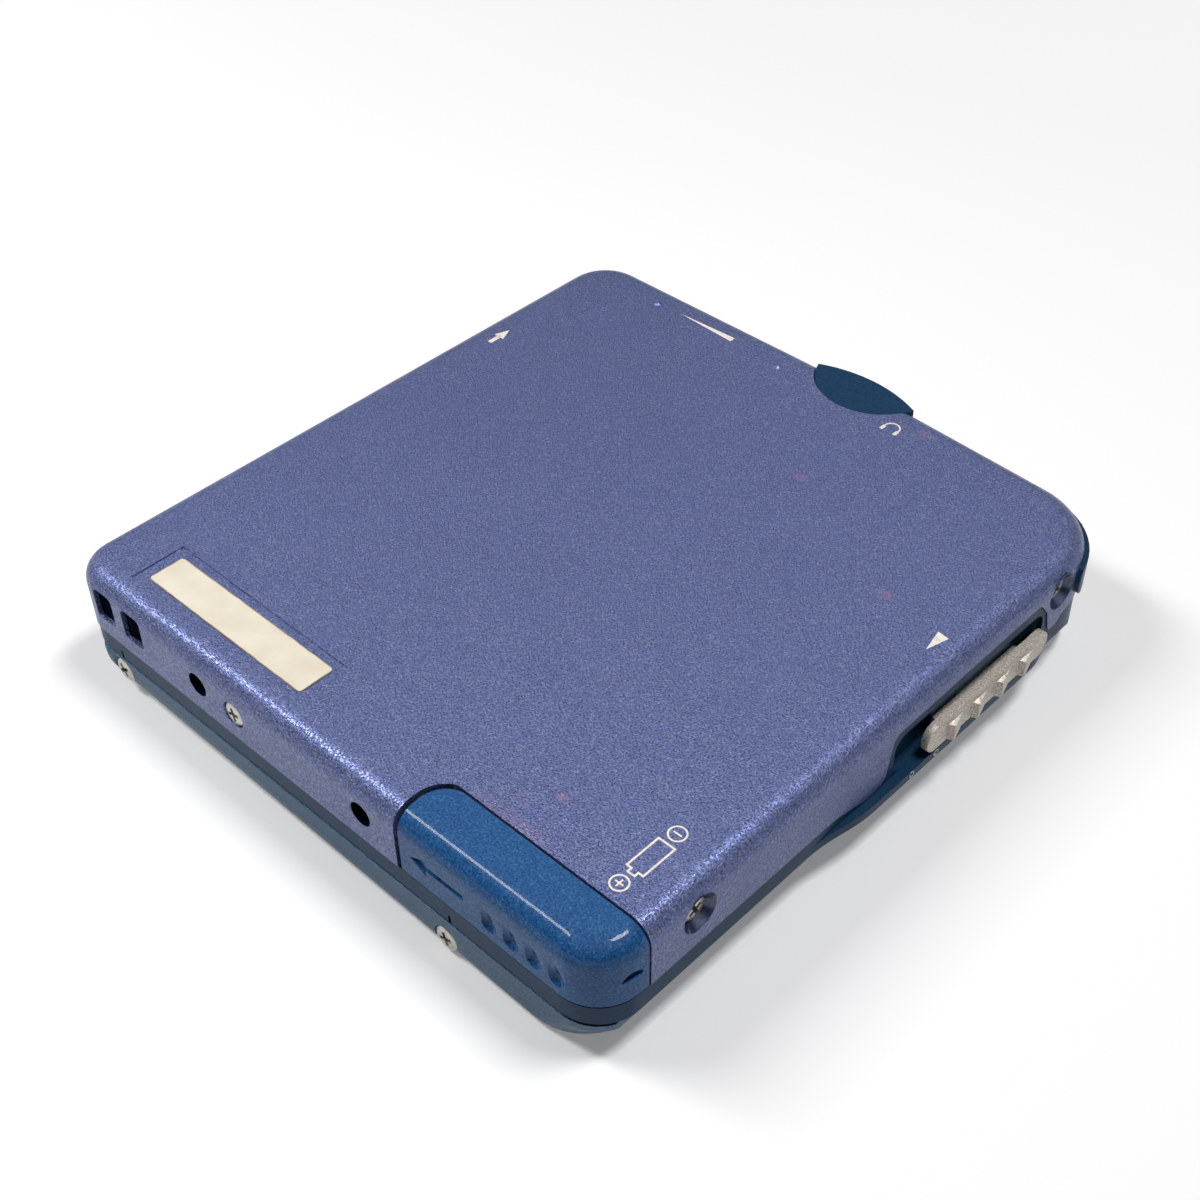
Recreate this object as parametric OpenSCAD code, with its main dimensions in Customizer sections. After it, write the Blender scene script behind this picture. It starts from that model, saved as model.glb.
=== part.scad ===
// Clamshell portable minidisc player, closed and lying on its lid with the base side up.
// X runs along the battery door side, Y along the latch side, and Z is up.
// The origin is the middle of the flat lid face that the player rests on.

/* [Body] */
// Width of the player from the hinge side to the latch side
body_w = 76; // [74:0.5:82]
// Depth of the player along the latch side
body_d = 80.2; // [79:0.5:88]
// Height of the closed player
body_h = 15; // [14.8:0.1:17]
// Height of the base shell's lower edge
edge_h = 7.5; // [7.3:0.1:8]
// Height of the mid frame's underside, above the lid seam
seam_h = 5.1; // [5:0.1:5.4]
// Open seam between the lid and the mid frame
seam_gap = 0.3; // [0.25:0.05:0.5]
// Wall of the pressed base shell
shell_wall = 0.8; // [0.6:0.1:1]
// Edge radius round the base
edge_r = 2.25; // [1.6:0.05:2.6]
// Plan radius of the corner by the terminal windows
corner_sw = 4.4; // [3.6:0.1:5.2]
// Plan radius of the corner by the battery door
corner_se = 5; // [4.6:0.1:5.6]
// Plan radius of the corner by the play keys
corner_ne = 9.5; // [8:0.1:10]
// Plan radius of the corner by the volume keys
corner_nw = 5.6; // [4.4:0.1:6.5]
// How far the key side is drawn in at the corner by the play keys
ne_draw = 1.2; // [0.6:0.1:1.4]

/* [Mid frame] */
// Wall of the moulded mid frame
frame_wall = 0.95; // [0.8:0.05:1.1]
// Step in from the base shell to the band that shows under it
band_step = 0.12; // [0.05:0.01:0.2]
// Distance from the base down to the frame's upper edge inside the shell
frame_drop = 2.3; // [2.3:0.1:2.6]

/* [Lid] */
// Wall of the lid
lid_wall = 0.8; // [0.7:0.05:0.85]
// Radius along the lid's lower edge at the latch end
lid_edge_r = 1.5; // [1.2:0.1:2]
// Radius of the lid's front corner at the table, on the latch side
lid_foot_r = 7; // [6:0.5:8]
// How far that corner is set in on the latch side
lid_foot_in = 1.5; // [1.2:0.1:1.8]
// Radius along the lid's lower edge at the hinge end
lid_rear_r = 3.3; // [2.6:0.1:3.6]
// How far the lid's rim is set in on the latch side
lid_set_in = 0.75; // [0.6:0.05:0.9]

/* [Hinge] */
// Distance of the lid hinge axis from the rear face
hinge_inset = 1.5; // [1.4:0.05:1.6]
// Diameter of the hinge pins
hinge_pin_d = 1.2; // [1:0.1:1.3]
// Outer diameter of the hinge knuckles
knuckle_d = 2.7; // [2.4:0.1:2.8]
// Length of a lid knuckle
knuckle_len = 5; // [4:0.5:6]
// Distance of the middle of each hinge from the player's front and key side faces
hinge_in = 10.1; // [10:0.1:14]
// Radial clearance of shafts and pins that turn
run_gap = 0.05; // [0.03:0.01:0.08]

/* [Disc holder] */
// Room from the cartridge to the player's front and key side faces, both together
disc_side_room = 8.2; // [8.1:0.1:8.6]
// Room from the cartridge to the hinge and latch side faces, both together
disc_end_room = 8; // [7.9:0.05:8.1]
// Height inside the disc holder
slot_h = 5.2; // [5.1:0.05:5.25]
// Sheet thickness of the disc holder and the lid brackets
sheet = 0.3; // [0.25:0.01:0.35]
// Width of the holder's lips over the cartridge
lip_w = 4.5; // [3:0.5:6]
// Height of the holder pivots
pivot_h = 3.6; // [3.4:0.1:3.8]

/* [Battery] */
// Width of the bay for the flat rechargeable cell
bay_w = 17.2; // [17:0.1:17.4]
// Length of the battery bay
bay_l = 69.6; // [68:0.1:70]
// Distance from the latch side face to the battery bay
bay_inset = 3.6; // [3.4:0.05:3.8]
// Wall of the battery tray
tray_wall = 0.35; // [0.3:0.05:0.4]

/* [Battery door] */
// Length of the battery door along the front
door_w = 24.9; // [24:0.1:25.5]
// Depth of the battery door on the base
door_d = 6; // [5.6:0.1:6.4]
// Radius of the door's inner corner at the hinge end
door_r = 2.9; // [2.4:0.1:3]
// Seam round the battery door
door_gap = 0.25; // [0.2:0.05:0.35]
// Swing gap at the door's hinge end
door_swing_gap = 0.6; // [0.55:0.05:0.8]
// Distance of the door pin from the front face
door_pin_in = 1.85; // [1.8:0.05:1.9]

/* [Open slider] */
// Length of the slider knob
slider_l = 20.6; // [18:0.2:21]
// Height of the slider knob
slider_h = 3.3; // [3.1:0.1:3.5]
// Thickness of the slider knob's plate
slider_t = 0.8; // [0.7:0.05:1]
// Height of the channel that the slider runs in
channel_h = 4.8; // [4.6:0.1:5]
// Travel of the slider
slider_travel = 3.6; // [3:0.1:4]
// Place of the slider's middle along the latch side
slider_y = 14.8; // [14.5:0.1:15.2]
// Height of the slider's middle above the base shell's lower edge
slider_rise = 1; // [0.9:0.05:1.1]

/* [Keys] */
// Place of the volume down key
vol_down_x = -25.2; // [-26:0.1:-24]
// Place of the volume up key
vol_up_x = -6.1; // [-8:0.1:-6]
// Length of a volume key
vol_key_l = 6; // [5:0.1:7]
// How far the raised end of the play keys' strip stands out at the corner
strip_pad = 0.5; // [0.3:0.05:0.6]
// Distance of the first play key from the latch side face
key_in = 20.8; // [20.6:0.1:21]
// Spacing of the play keys
key_pitch = 5.3; // [5.2:0.05:5.4]
// Length of a play key
key_l = 4.2; // [3.6:0.1:4.4]
// Height of every key cap
key_h = 2.2; // [1.8:0.1:2.4]
// Distance from the base down to the middle of every key
key_drop = 4; // [3.9:0.05:4.2]
// Clearance round a key or knob in its slot
key_gap = 0.25; // [0.2:0.05:0.3]

/* [Headphone jack] */
// Place of the jack along the key side
jack_x = 3.7; // [3:0.1:4.5]
// Distance from the base down to the jack's axis
jack_drop = 4.8; // [4.6:0.1:4.9]
// Diameter of the socket bore
jack_d = 3.6; // [3.55:0.01:3.7]
// Length of the socket bore
jack_l = 14; // [13:0.5:15]
// How far the jack boss stands out of the key side
jack_bulge = 1.2; // [0.8:0.1:1.4]

/* [Mechanism] */
// Thickness of the steel deck
deck_t = 0.4; // [0.35:0.05:0.45]
// Radius of the spindle motor
motor_r = 8; // [7:0.1:8]
// Radius of the guide rods
rod_r = 0.75; // [0.6:0.05:0.8]
// Distance of each guide rod from the spindle's axis
rod_x = 8.2; // [8:0.1:8.4]
// Height of the guide rods and the lead screw
rod_z = 10.2; // [10:0.1:10.2]
// Place of the lead screw
screw_x = 11.6; // [11.5:0.1:11.9]
// Distance of the lens from the spindle with the sled at the disc's start
lens_y = 14.6; // [14.6:0.1:15]
// Travel of the pickup sled
sled_travel = 16; // [15:0.1:16]

/* [Screws] */
// Radius of a screw head
head_r = 1.45; // [1.3:0.05:1.5]
// Radius of a screw shank
shank_r = 0.7; // [0.6:0.05:0.75]

/* [Hidden] */

$fa = 6;
$fs = 0.2;
eps = 0.01;
far = 60;

hw = body_w / 2;
hd = body_d / 2;
hinge_x = -hw + hinge_inset;
hinge_y = hd - hinge_in;
frame_top = body_h - frame_drop;
key_x = hw - key_in;
key_z = body_h - key_drop;
jack_z = body_h - jack_drop;
slider_z = edge_h + slider_rise;
knob_z = slider_z - (channel_h - slider_h) / 2 + 0.25;

// The cartridge, 72 by 68 mm in a player of 80.2 by 76 mm
disc_w = body_d - disc_side_room;
disc_l = body_w - disc_end_room;
hinge_z = seam_h + 0.1;
knuckle_r = knuckle_d / 2;
hinge_clear = knuckle_r + 0.35;
player_knuckle_len = knuckle_len / 2;

// Where the straight key side begins to be drawn in
draw_x = jack_x + 4.3;
draw_angle = atan(ne_draw / (hw - corner_ne - draw_x));

// Disc holder levels, from the lid's floor upwards
holder_z = lid_wall + 0.3;
slot_z = holder_z + sheet;
lip_z = slot_z + slot_h;
slot_x = -hw + 4.05;
pivot_x = slot_x - 0.7;
holder_in = lid_wall + 0.1 + 0.35;
flange_in = disc_w / 2 + 0.15;
deck_z = lip_z + sheet + 0.35;
deck_top = deck_z + deck_t;

bay_x = hw - bay_inset - bay_w;
bay_front = -hd + 2.5;
bay_z = deck_top + 0.3;
tray_top = body_h - shell_wall - 0.3;
ear_top = tray_top - 0.6;
ear_r = 0.85;

door_x = hw - door_w;
door_y = -hd + door_d;
door_bottom = edge_h + 0.25;
door_pin_x = door_x + door_r;
door_pin_y = -hd + door_pin_in;
door_cut_y = door_y + door_gap;
frame_in = shell_wall + 0.06;
frame_inner = frame_in + frame_wall;

slider_y0 = slider_y - slider_l / 2;
slider_y1 = slider_y + slider_l / 2;
channel_x = hw - 1.3;
plate_x = hw - 2.9;

window_w = 3.2;
window_h = 3.8;
window_z = body_h - 3.6;
window_x = [-hw + 5.8, -hw + 10.6];
guide_hole_x = [-16.6, 7.8];
guide_hole_z = body_h - 4;
guide_hole_r = 1.35;
front_screw = [-11, body_h - 4.3];
side_screw_y = [-hd + 12.5, hd - 11.8];
side_screw_z = [body_h - 3.6, body_h - 3.2];
side_seat = 1.1;
lid_screw_x = [-hw + 6.6, 18.3];
lid_screw_z = [3.1, 2];
hold_y = 14;
hold_travel = 3;
label_size = [26.2, 6.4];
label_at = [-hw + 7.6, -hd + 2.9];

function arc(cx, cy, r, a0, a1, n) =
    [for (i = [0:n]) [cx + r * cos(a0 + (a1 - a0) * i / n), cy + r * sin(a0 + (a1 - a0) * i / n)]];

// Outline of the player seen from above, drawn in by o
function plan_points(o) = concat(
    arc(-hw + corner_sw, -hd + corner_sw, corner_sw - o, 180, 270, 10),
    arc(hw - corner_se, -hd + corner_se, corner_se - o, 270, 360, 10),
    arc(hw - corner_ne, hd - ne_draw - corner_ne, corner_ne - o, 0, 90 - draw_angle, 14),
    [[draw_x, hd - o]],
    arc(-hw + corner_nw, hd - corner_nw, corner_nw - o, 90, 180, 10));

module plan(o) {
    polygon(plan_points(o));
}

// A turned corner with a rounded upper edge, for hulls
module corner_turn(x, y, r, z0, z1, f) {
    translate([x, y, 0])
        rotate_extrude($fn = 40)
            polygon(concat([[0, z0], [r, z0]], arc(r - f, z1 - f, f, 0, 90, 6), [[0, z1]]));
}

// Outer form of the base, drawn in by o, from height z0 up
module base_form(o, z0) {
    f = edge_r - o;
    top = body_h - o;
    hull() {
        corner_turn(-hw + corner_sw, -hd + corner_sw, corner_sw - o, z0, top, f);
        corner_turn(hw - corner_se, -hd + corner_se, corner_se - o, z0, top, f);
        corner_turn(hw - corner_ne, hd - ne_draw - corner_ne, corner_ne - o, z0, top, f);
        corner_turn(draw_x, hd - 3, 3 - o, z0, top, f);
        corner_turn(-hw + corner_nw, hd - corner_nw, corner_nw - o, z0, top, f);
    }
}

// Lower edge of the base shell on the latch side, as points along Y, lowered by g.
// It dips in an S, steps up round the slider channel, comes down and rises to the key corner.
function edge_points(g) = concat(
    [[-far, edge_h - g]],
    [for (i = [0:8]) [-9.6 + 7.2 * i / 8, edge_h - g - 0.65 * (1 - cos(180 * i / 8))]],
    [[-1.2 + g, edge_h - 1 - g], [-0.8 + g, edge_h - 0.4]],
    arc(1.1 + g, slider_z + 2.2 - g, 1.3, 180, 90, 5),
    arc(slider_y1 - 1.3 - g, slider_z + 2.6 - g, 1.3, 90, 25, 4),
    [[slider_y1 + 0.85 - g, slider_z + 1.9], [slider_y1 + 1.6 - g, edge_h + 0.2]],
    [[slider_y1 + 2 - g, edge_h - 0.2 - g], [slider_y1 + 2.5, edge_h - 0.2 - g]],
    [for (i = [0:5]) [slider_y1 + 2.8 + 1.8 * i / 5, edge_h - g + 0.35 - 0.55 * cos(36 * i)]],
    [for (i = [0:5]) [slider_y1 + 7.5 + 3.6 * i / 5, edge_h - g + 0.45 + 0.45 * cos(36 * i)]],
    [[far, edge_h - g], [far, 0], [-far, 0]]);

// Everything below the base shell's lower edge
module below_edge(g) {
    translate([-far, -far, 0])
        cube([far + 25, 2 * far, edge_h - g]);
    translate([25 - eps, 0, 0])
        rotate([90, 0, 90])
            linear_extrude(height = 35)
                polygon(edge_points(g));
}

// Room that the door's hinge end sweeps as it swings
module door_sweep() {
    translate([door_pin_x, door_pin_y, deck_top + 0.02])
        cylinder(r = norm([door_r, door_pin_in]) + 0.3, h = body_h, $fn = 64);
}

// Plan of the battery door, grown by g, and by s more at its hinge end
module door_plan(g, s) {
    union() {
        translate([door_x - s, -far])
            square([far, far + door_y - door_r]);
        translate([door_x + door_r, -far])
            square([far, far + door_y + g]);
        intersection() {
            translate([door_pin_x, door_y - door_r])
                circle(r = door_r + s, $fn = 48);
            translate([door_x - s, -far])
                square([far, far + door_y + g]);
        }
    }
}

// A screw whose head sits at the origin and whose shank runs down -Z
module screw(hr, hh, sr, l) {
    cylinder(r = hr, h = hh);
    translate([0, 0, -l])
        cylinder(r = sr, h = l + eps);
}

// Turn something drawn along +Z to face out of the front, key, latch or hinge side
module face_front(x, z, y = -hd) {
    translate([x, y, z])
        rotate([90, 0, 0])
            children();
}
module face_keys(x, z, y = hd) {
    translate([x, y, z])
        rotate([-90, 0, 0])
            children();
}
module face_latch(y, z, x = hw) {
    translate([x, y, z])
        rotate([0, 90, 0])
            children();
}

// Bar with round ends along X, pushed out along Y
module slot_bar(l, h, y0, y1) {
    translate([0, y1, 0])
        rotate([90, 0, 0])
            linear_extrude(height = y1 - y0)
                union() {
                    square([l - h, h], center = true);
                    translate([-(l - h) / 2, 0])
                        circle(d = h, $fn = 32);
                    translate([(l - h) / 2, 0])
                        circle(d = h, $fn = 32);
                }
}

// Plate with rounded corners, centred, drawn in the XY plane
module round_rect(l, w, r) {
    union() {
        square([l - 2 * r, w], center = true);
        square([l, w - 2 * r], center = true);
        for (sx = [-1, 1])
            for (sy = [-1, 1])
                translate([sx * (l / 2 - r), sy * (w / 2 - r)])
                    circle(r = r, $fn = 24);
    }
}

// Height of the key side wall's outer face at x
function wall_y(x) = x < draw_x ? hd : hd - (x - draw_x) * tan(draw_angle);

// Outer face of the lid at a lid screw: s is -1 on the door side, 1 on the key side
function lid_face(i, s) = s < 0 ? -hd + 0.1 : wall_y(lid_screw_x[i]) - 0.1;

// Lid form drawn in by o: bevelled on the latch side, round on the hinge side
module lid_form(o, top) {
    intersection() {
        hull() {
            translate([hw - corner_se, -hd + corner_se, 4.1])
                cylinder(r = corner_se - 0.1 - o, h = top - 4.1, $fn = 48);
            for (c = [[-hw + corner_sw, -hd + corner_sw, corner_sw, lid_rear_r],
                      [hw - lid_foot_in - lid_foot_r, -hd + lid_foot_r, lid_foot_r, lid_edge_r],
                      [hw - corner_ne, hd - ne_draw - corner_ne, corner_ne, lid_edge_r],
                      [draw_x, hd - 3, 3, lid_edge_r],
                      [-hw + corner_nw, hd - corner_nw, corner_nw, lid_rear_r]])
                translate([0, 0, o])
                    mirror([0, 0, 1])
                        corner_turn(c[0], c[1], c[2] - 0.1 - o, -top, 0, max(c[3] - o, 0.3));
        }
        translate([0, far, 0])
            rotate([90, 0, 0])
                linear_extrude(height = 2 * far)
                    hull() {
                        translate([-hw + 3.9, 3.6])
                            circle(r = 3.6 - o, $fn = 48);
                        translate([hw - 4, 2])
                            circle(r = 2 - o, $fn = 48);
                        translate([-hw + 0.3 + o, 4])
                            square([1, top - 4]);
                        translate([hw - lid_set_in - o - 1, top - 1])
                            square([1, 1]);
                    }
    }
}

// Knuckles of length l with their middles at the given places along the hinge
module knuckles(places, l) {
    for (y = places)
        translate([hinge_x, y + l / 2, hinge_z])
            rotate([90, 0, 0])
                cylinder(r = knuckle_r, h = l, $fn = 48);
}

module hinge_bore(r) {
    translate([hinge_x, far, hinge_z])
        rotate([90, 0, 0])
            cylinder(r = r, h = 2 * far, $fn = 48);
}

// Holes for the two hinge pins
pin_l = knuckle_len + 0.6 + 2 * player_knuckle_len;
module pin_holes(r) {
    for (s = [-1, 1])
        translate([hinge_x, s * hinge_y + pin_l / 2 + 0.1, hinge_z])
            rotate([90, 0, 0])
                cylinder(r = r, h = pin_l + 0.2, $fn = 48);
}

module lid_shell() {
    rim = seam_h - seam_gap;
    color("#3f6c8f")
        difference() {
            union() {
                difference() {
                    lid_form(0, rim);
                    lid_form(lid_wall, rim + 1);
                    hinge_bore(hinge_clear);
                }
                difference() {
                    for (s = [-1, 1])
                        translate([hinge_x - 0.8, s * hinge_y - knuckle_len / 2, lid_wall])
                            cube([1.6, knuckle_len, hinge_z - lid_wall]);
                    translate([-hw - 1, -far, 0])
                        cube([0.8 + 0.5, 2 * far, 3.3]);
                }
                knuckles([-hinge_y, hinge_y], knuckle_len);
            }
            pin_holes(hinge_pin_d / 2 + 0.02);
            for (i = [0, 1])
                for (s = [-1, 1])
                    translate([lid_screw_x[i], lid_face(i, s), lid_screw_z[i]])
                        rotate([s * 90, 0, 0]) {
                            translate([0, 0, -1])
                                cylinder(r = head_r + 0.05, h = 1.35);
                            cylinder(r = shank_r + 0.05, h = 3);
                        }
        }
}

module lid_screws() {
    color("#c9c9c6")
        for (i = [0, 1])
            for (s = [-1, 1])
                translate([lid_screw_x[i], lid_face(i, s) - s * 0.35, lid_screw_z[i]])
                    rotate([-s * 90, 0, 0])
                        screw(head_r, 0.45, shank_r, 1.75);
}

// Side plates inside the lid that the lid screws hold, with the holder's pivots
bracket_y = hd - 1.9;
module lid_brackets() {
    color("#b9bcc0")
        for (s = [-1, 1])
            difference() {
                union() {
                    translate([0, s * bracket_y + sheet / 2, 0])
                        rotate([90, 0, 0])
                            linear_extrude(height = sheet)
                                polygon([[-hw + 3, 2.3], [-4, 2.3], [0, 1.3], [22, 1.3], [22, 3.6],
                                         [18, 4.6], [-hw + 3, 4.6]]);
                    translate([pivot_x, s * bracket_y, pivot_h])
                        rotate([s * 90, 0, 0])
                            cylinder(r = 0.5, h = bracket_y - flange_in + 0.05);
                }
                for (i = [0, 1])
                    translate([lid_screw_x[i], s * hd, lid_screw_z[i]])
                        rotate([s * 90, 0, 0])
                            cylinder(r = shank_r + 0.02, h = 4);
            }
}

module hinge_pins() {
    color("#cfcfcf")
        for (s = [-1, 1])
            translate([hinge_x, s * hinge_y + pin_l / 2, hinge_z])
                rotate([90, 0, 0])
                    cylinder(d = hinge_pin_d, h = pin_l);
}

// Steel catch on the lid's latch side rim
module latch_catch() {
    color("#b9bcc0")
        translate([hw - 3.3, slider_y - 1.4, 0])
            union() {
                translate([0, 0, seam_h - 1])
                    cube([0.8, 3.6, 0.5]);
                translate([0, 0, 2.35])
                    cube([0.35, 3.6, seam_h - 3]);
            }
}

// Sheet steel tray that the cartridge slides into, pivoted near the lid hinge
module disc_holder() {
    x0 = slot_x - 0.4;
    l = disc_l + 0.4;
    out = flange_in + sheet;
    color("#b4b8bd")
        difference() {
            intersection() {
                union() {
                    translate([x0, -out, holder_z])
                        cube([l, 2 * out, sheet]);
                    for (s = [-1, 1])
                        translate([x0, s > 0 ? out : -flange_in, 0])
                            rotate([90, 0, 0])
                                linear_extrude(height = sheet)
                                    polygon([[0, holder_z], [l, holder_z], [l, lip_z + sheet],
                                             [3, lip_z + sheet], [0, pivot_h + 1.2],
                                             [-1.15, pivot_h + 1], [-1.15, pivot_h - 1]]);
                    for (s = [-1, 1])
                        translate([slot_x + 4, s > 0 ? out - lip_w : -out, lip_z])
                            cube([l - 6, lip_w, sheet]);
                    translate([x0, -out, holder_z])
                        cube([sheet, 2 * out, slot_h * 0.5]);
                }
                linear_extrude(height = body_h)
                    plan(holder_in);
            }
            for (s = [-1, 1])
                translate([pivot_x, s * (flange_in - 0.15), pivot_h])
                    rotate([-s * 90, 0, 0])
                        cylinder(r = 0.5 + run_gap, h = 1);
        }
}

// Leaf springs on the holder's side flanges that press on the cartridge
module holder_springs() {
    color("#d0d2d4")
        for (s = [-1, 1])
            translate([-6, s > 0 ? flange_in - 0.12 : -flange_in, slot_z + 0.4])
                cube([16, 0.12, 1.2]);
}

module window_cut(x, grow) {
    face_front(x, window_z)
        translate([0, 0, -3])
            linear_extrude(height = 4)
                round_rect(window_w + grow, window_h + grow, 0.7);
}

// The key strip's opening: from beside the jack round the corner
strip_x = jack_x + 9.9;
strip_end = hd - 9.2;
strip_z = key_z;
module strip_cut(h, depth) {
    intersection() {
        union() {
            translate([strip_x + h / 2, strip_end + h / 2, strip_z - h / 2])
                cube([far, far, h]);
            translate([strip_x + h / 2, hd + 3, strip_z])
                rotate([90, 0, 0])
                    cylinder(d = h, h = 9, $fn = 40);
            translate([hw - 5, strip_end + h / 2, strip_z])
                rotate([0, 90, 0])
                    cylinder(d = h, h = 9, $fn = 40);
        }
        linear_extrude(height = body_h + 1)
            difference() {
                plan(-3);
                plan(depth);
            }
    }
}

// Scallop in the base shell that the jack boss fills
module jack_scallop(g) {
    translate([jack_x, hd + 1.75, 0])
        cylinder(r = 7.1 + g, h = body_h + 1, $fn = 96);
}

module side_screw_cone(i, g) {
    face_latch(side_screw_y[i], side_screw_z[i])
        translate([0, 0, -side_seat])
            cylinder(r1 = 1.5 + g, r2 = 2.15 + g, h = side_seat + eps, $fn = 48);
}

module base_shell() {
    color("#6366a6")
        difference() {
            union() {
                difference() {
                    base_form(0, edge_h - 1.4);
                    base_form(shell_wall, edge_h - 2);
                    below_edge(0);
                }
                for (i = [0, 1])
                    face_latch(side_screw_y[i], side_screw_z[i])
                        translate([0, 0, -1.9])
                            cylinder(r = 2.4, h = 1.9 - shell_wall / 2 - i * 0.2, $fn = 48);
            }
            translate([0, 0, edge_h - 2])
                linear_extrude(height = far)
                    door_plan(door_gap, door_swing_gap);
            jack_scallop(0.12);
            strip_cut(4, 3);
            for (x = window_x)
                window_cut(x, 0);
            for (x = guide_hole_x)
                face_front(x, guide_hole_z)
                    translate([0, 0, -1.5])
                        cylinder(r = guide_hole_r, h = 2);
            face_front(front_screw[0], front_screw[1]) {
                translate([0, 0, -0.45])
                    cylinder(r = head_r + 0.05, h = 1);
                translate([0, 0, -2])
                    cylinder(r = shank_r + 0.05, h = 3);
            }
            for (i = [0, 1]) {
                side_screw_cone(i, 0);
                face_latch(side_screw_y[i], side_screw_z[i])
                    translate([0, 0, -3])
                        cylinder(r = shank_r + 0.05, h = 3);
            }
            for (x = [vol_down_x, vol_up_x])
                translate([x, 0, key_z])
                    slot_bar(vol_key_l + 2 * key_gap, key_h + 2 * key_gap, hd - 2, hd + 1);
            translate([-hw - 1, hold_y - 3.2, key_z - 1.3])
                cube([2.5, 9.4, 2.6]);
            translate([label_at[0], label_at[1], body_h - 0.15])
                cube([label_size[0], label_size[1], 1]);
        }
}

module mid_frame() {
    color("#2f5f86")
        difference() {
            union() {
                intersection() {
                    translate([0, 0, seam_h])
                        linear_extrude(height = 8)
                            difference() {
                                plan(band_step);
                                plan(frame_inner);
                            }
                    below_edge(0.06);
                }
                translate([0, 0, edge_h - 1.5])
                    linear_extrude(height = frame_top - edge_h + 1.5)
                        difference() {
                            plan(frame_in);
                            plan(frame_inner);
                        }
                intersection() {
                    strip_cut(3.8, frame_in + eps);
                    linear_extrude(height = body_h)
                        union() {
                            plan(0.35);
                            intersection() {
                                plan(-strip_pad);
                                translate([key_x + 2 * key_pitch + key_l / 2 + 0.7, 0])
                                    square(far);
                            }
                        }
                }
                jack_boss();
                slider_lip();
                intersection() {
                    union() {
                        knuckles([0], barrel_l);
                        translate([hinge_x - 0.5, -barrel_l / 2, hinge_z])
                            cube([1.6, barrel_l, 1.6]);
                    }
                    linear_extrude(height = body_h)
                        plan(0.1);
                }
                damper_ledges();
                face_front(front_screw[0], front_screw[1], -hd + frame_in + 0.2)
                    translate([0, 0, -2.4])
                        cylinder(r = 1.9, h = 2.4);
            }
            translate([0, 0, edge_h - 0.06])
                linear_extrude(height = far)
                    door_plan(door_gap + 0.05, door_swing_gap + 0.05);
            linear_extrude(height = deck_z - 0.1)
                intersection() {
                    plan(holder_in - 0.3);
                    translate([20, 20])
                        square(far);
                }
            hinge_relief();
            pin_holes(hinge_pin_d / 2 + run_gap);
            slider_channel();
            for (x = window_x)
                translate([x - window_w / 2 - 0.1, -hd + 0.5, window_z - window_h / 2 - 0.1])
                    cube([window_w + 0.2, 2, window_h + 2]);
            for (x = guide_hole_x)
                face_front(x, guide_hole_z)
                    translate([0, 0, -3])
                        cylinder(r = guide_hole_r + 0.15, h = 3);
            face_front(front_screw[0], front_screw[1])
                translate([0, 0, -4])
                    cylinder(r = shank_r + 0.02, h = 4);
            for (i = [0, 1])
                face_latch(side_screw_y[i], side_screw_z[i])
                    translate([0, 0, -3])
                        cylinder(r = 2.5, h = 4, $fn = 48);
            key_slots();
            face_keys(jack_x, jack_z)
                translate([0, 0, -6])
                    cylinder(r = jack_nose_r + 0.1, h = 9, $fn = 48);
            translate([jack_x - 4.1, hd - 8.4, jack_z - 3.1])
                cube([8.2, 7.5, 6.4]);
        }
}

// Lens-shaped boss round the headphone jack, proud of the key side
jack_nose_r = 2.5;
module jack_boss() {
    for (part = [[seam_h, frame_inner], [deck_top + 0.35, frame_inner + 4]])
        translate([0, 0, part[0]])
            linear_extrude(height = body_h - 0.25 - part[0])
                intersection() {
                    translate([jack_x, hd + 1.75])
                        circle(r = 7.1, $fn = 96);
                    translate([jack_x, hd + jack_bulge - 16.2])
                        circle(r = 16.2, $fn = 120);
                    translate([jack_x - 10, hd - part[1]])
                        square([20, 10]);
                }
}

// Lip that swells out under the slider
module slider_lip() {
    y0 = slider_y0 - 16.5;
    y1 = slider_y1 + 3;
    translate([0, 0, seam_h])
        linear_extrude(height = slider_z - channel_h / 2 - seam_h)
            polygon(concat(
                [[hw - frame_inner, y0]],
                [for (i = [0:10]) [hw - 0.12 + 0.51 * (1 - cos(18 * i)), y0 + 0.85 * i]],
                [for (i = [0:8]) [hw - 0.12 + 0.51 * (1 + cos(22.5 * i)), y1 - 5 + 0.625 * i]],
                [[hw - frame_inner, y1]]));
}

// Channel that the slider runs in, and the slot for its stem
module slider_channel() {
    l = slider_l + slider_travel + 0.8;
    translate([channel_x, slider_y - slider_travel / 2, slider_z])
        rotate([90, 0, 90])
            linear_extrude(height = 4)
                round_rect(l, channel_h, 1.5);
    translate([plate_x - 1, slider_y - slider_travel - 3.3, slider_z - 1.3])
        cube([4, slider_travel + 6.6, 2.6]);
    translate([plate_x - 1, slider_y - 8 - slider_travel, 0])
        cube([1.95, 16 + slider_travel, frame_top]);
}

module key_slots() {
    for (x = [vol_down_x, vol_up_x])
        translate([x, 0, key_z])
            slot_bar(vol_key_l + 2 * key_gap, key_h + 2 * key_gap, hd - 4, hd + 1);
    for (i = [0:2])
        translate([key_x + i * key_pitch, 0, key_z])
            slot_bar(key_l + 2 * key_gap, key_h + 2 * key_gap, hd - 5, hd + 1);
    translate([-hw - 1, hold_y - 3, key_z - 1.15])
        cube([3.5, 9, 2.3]);
}

// Barrel along the rear edge that keeps the seam closed as the player swings up
barrel_l = 2 * (hinge_y + pin_l / 2 + 0.3);

// Room for the lid's knuckles
module hinge_relief() {
    for (s = [-1, 1])
        translate([hinge_x, s * hinge_y + knuckle_len / 2 + 0.3, hinge_z])
            rotate([90, 0, 0])
                cylinder(r = hinge_clear, h = knuckle_len + 0.6, $fn = 48);
}

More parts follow.
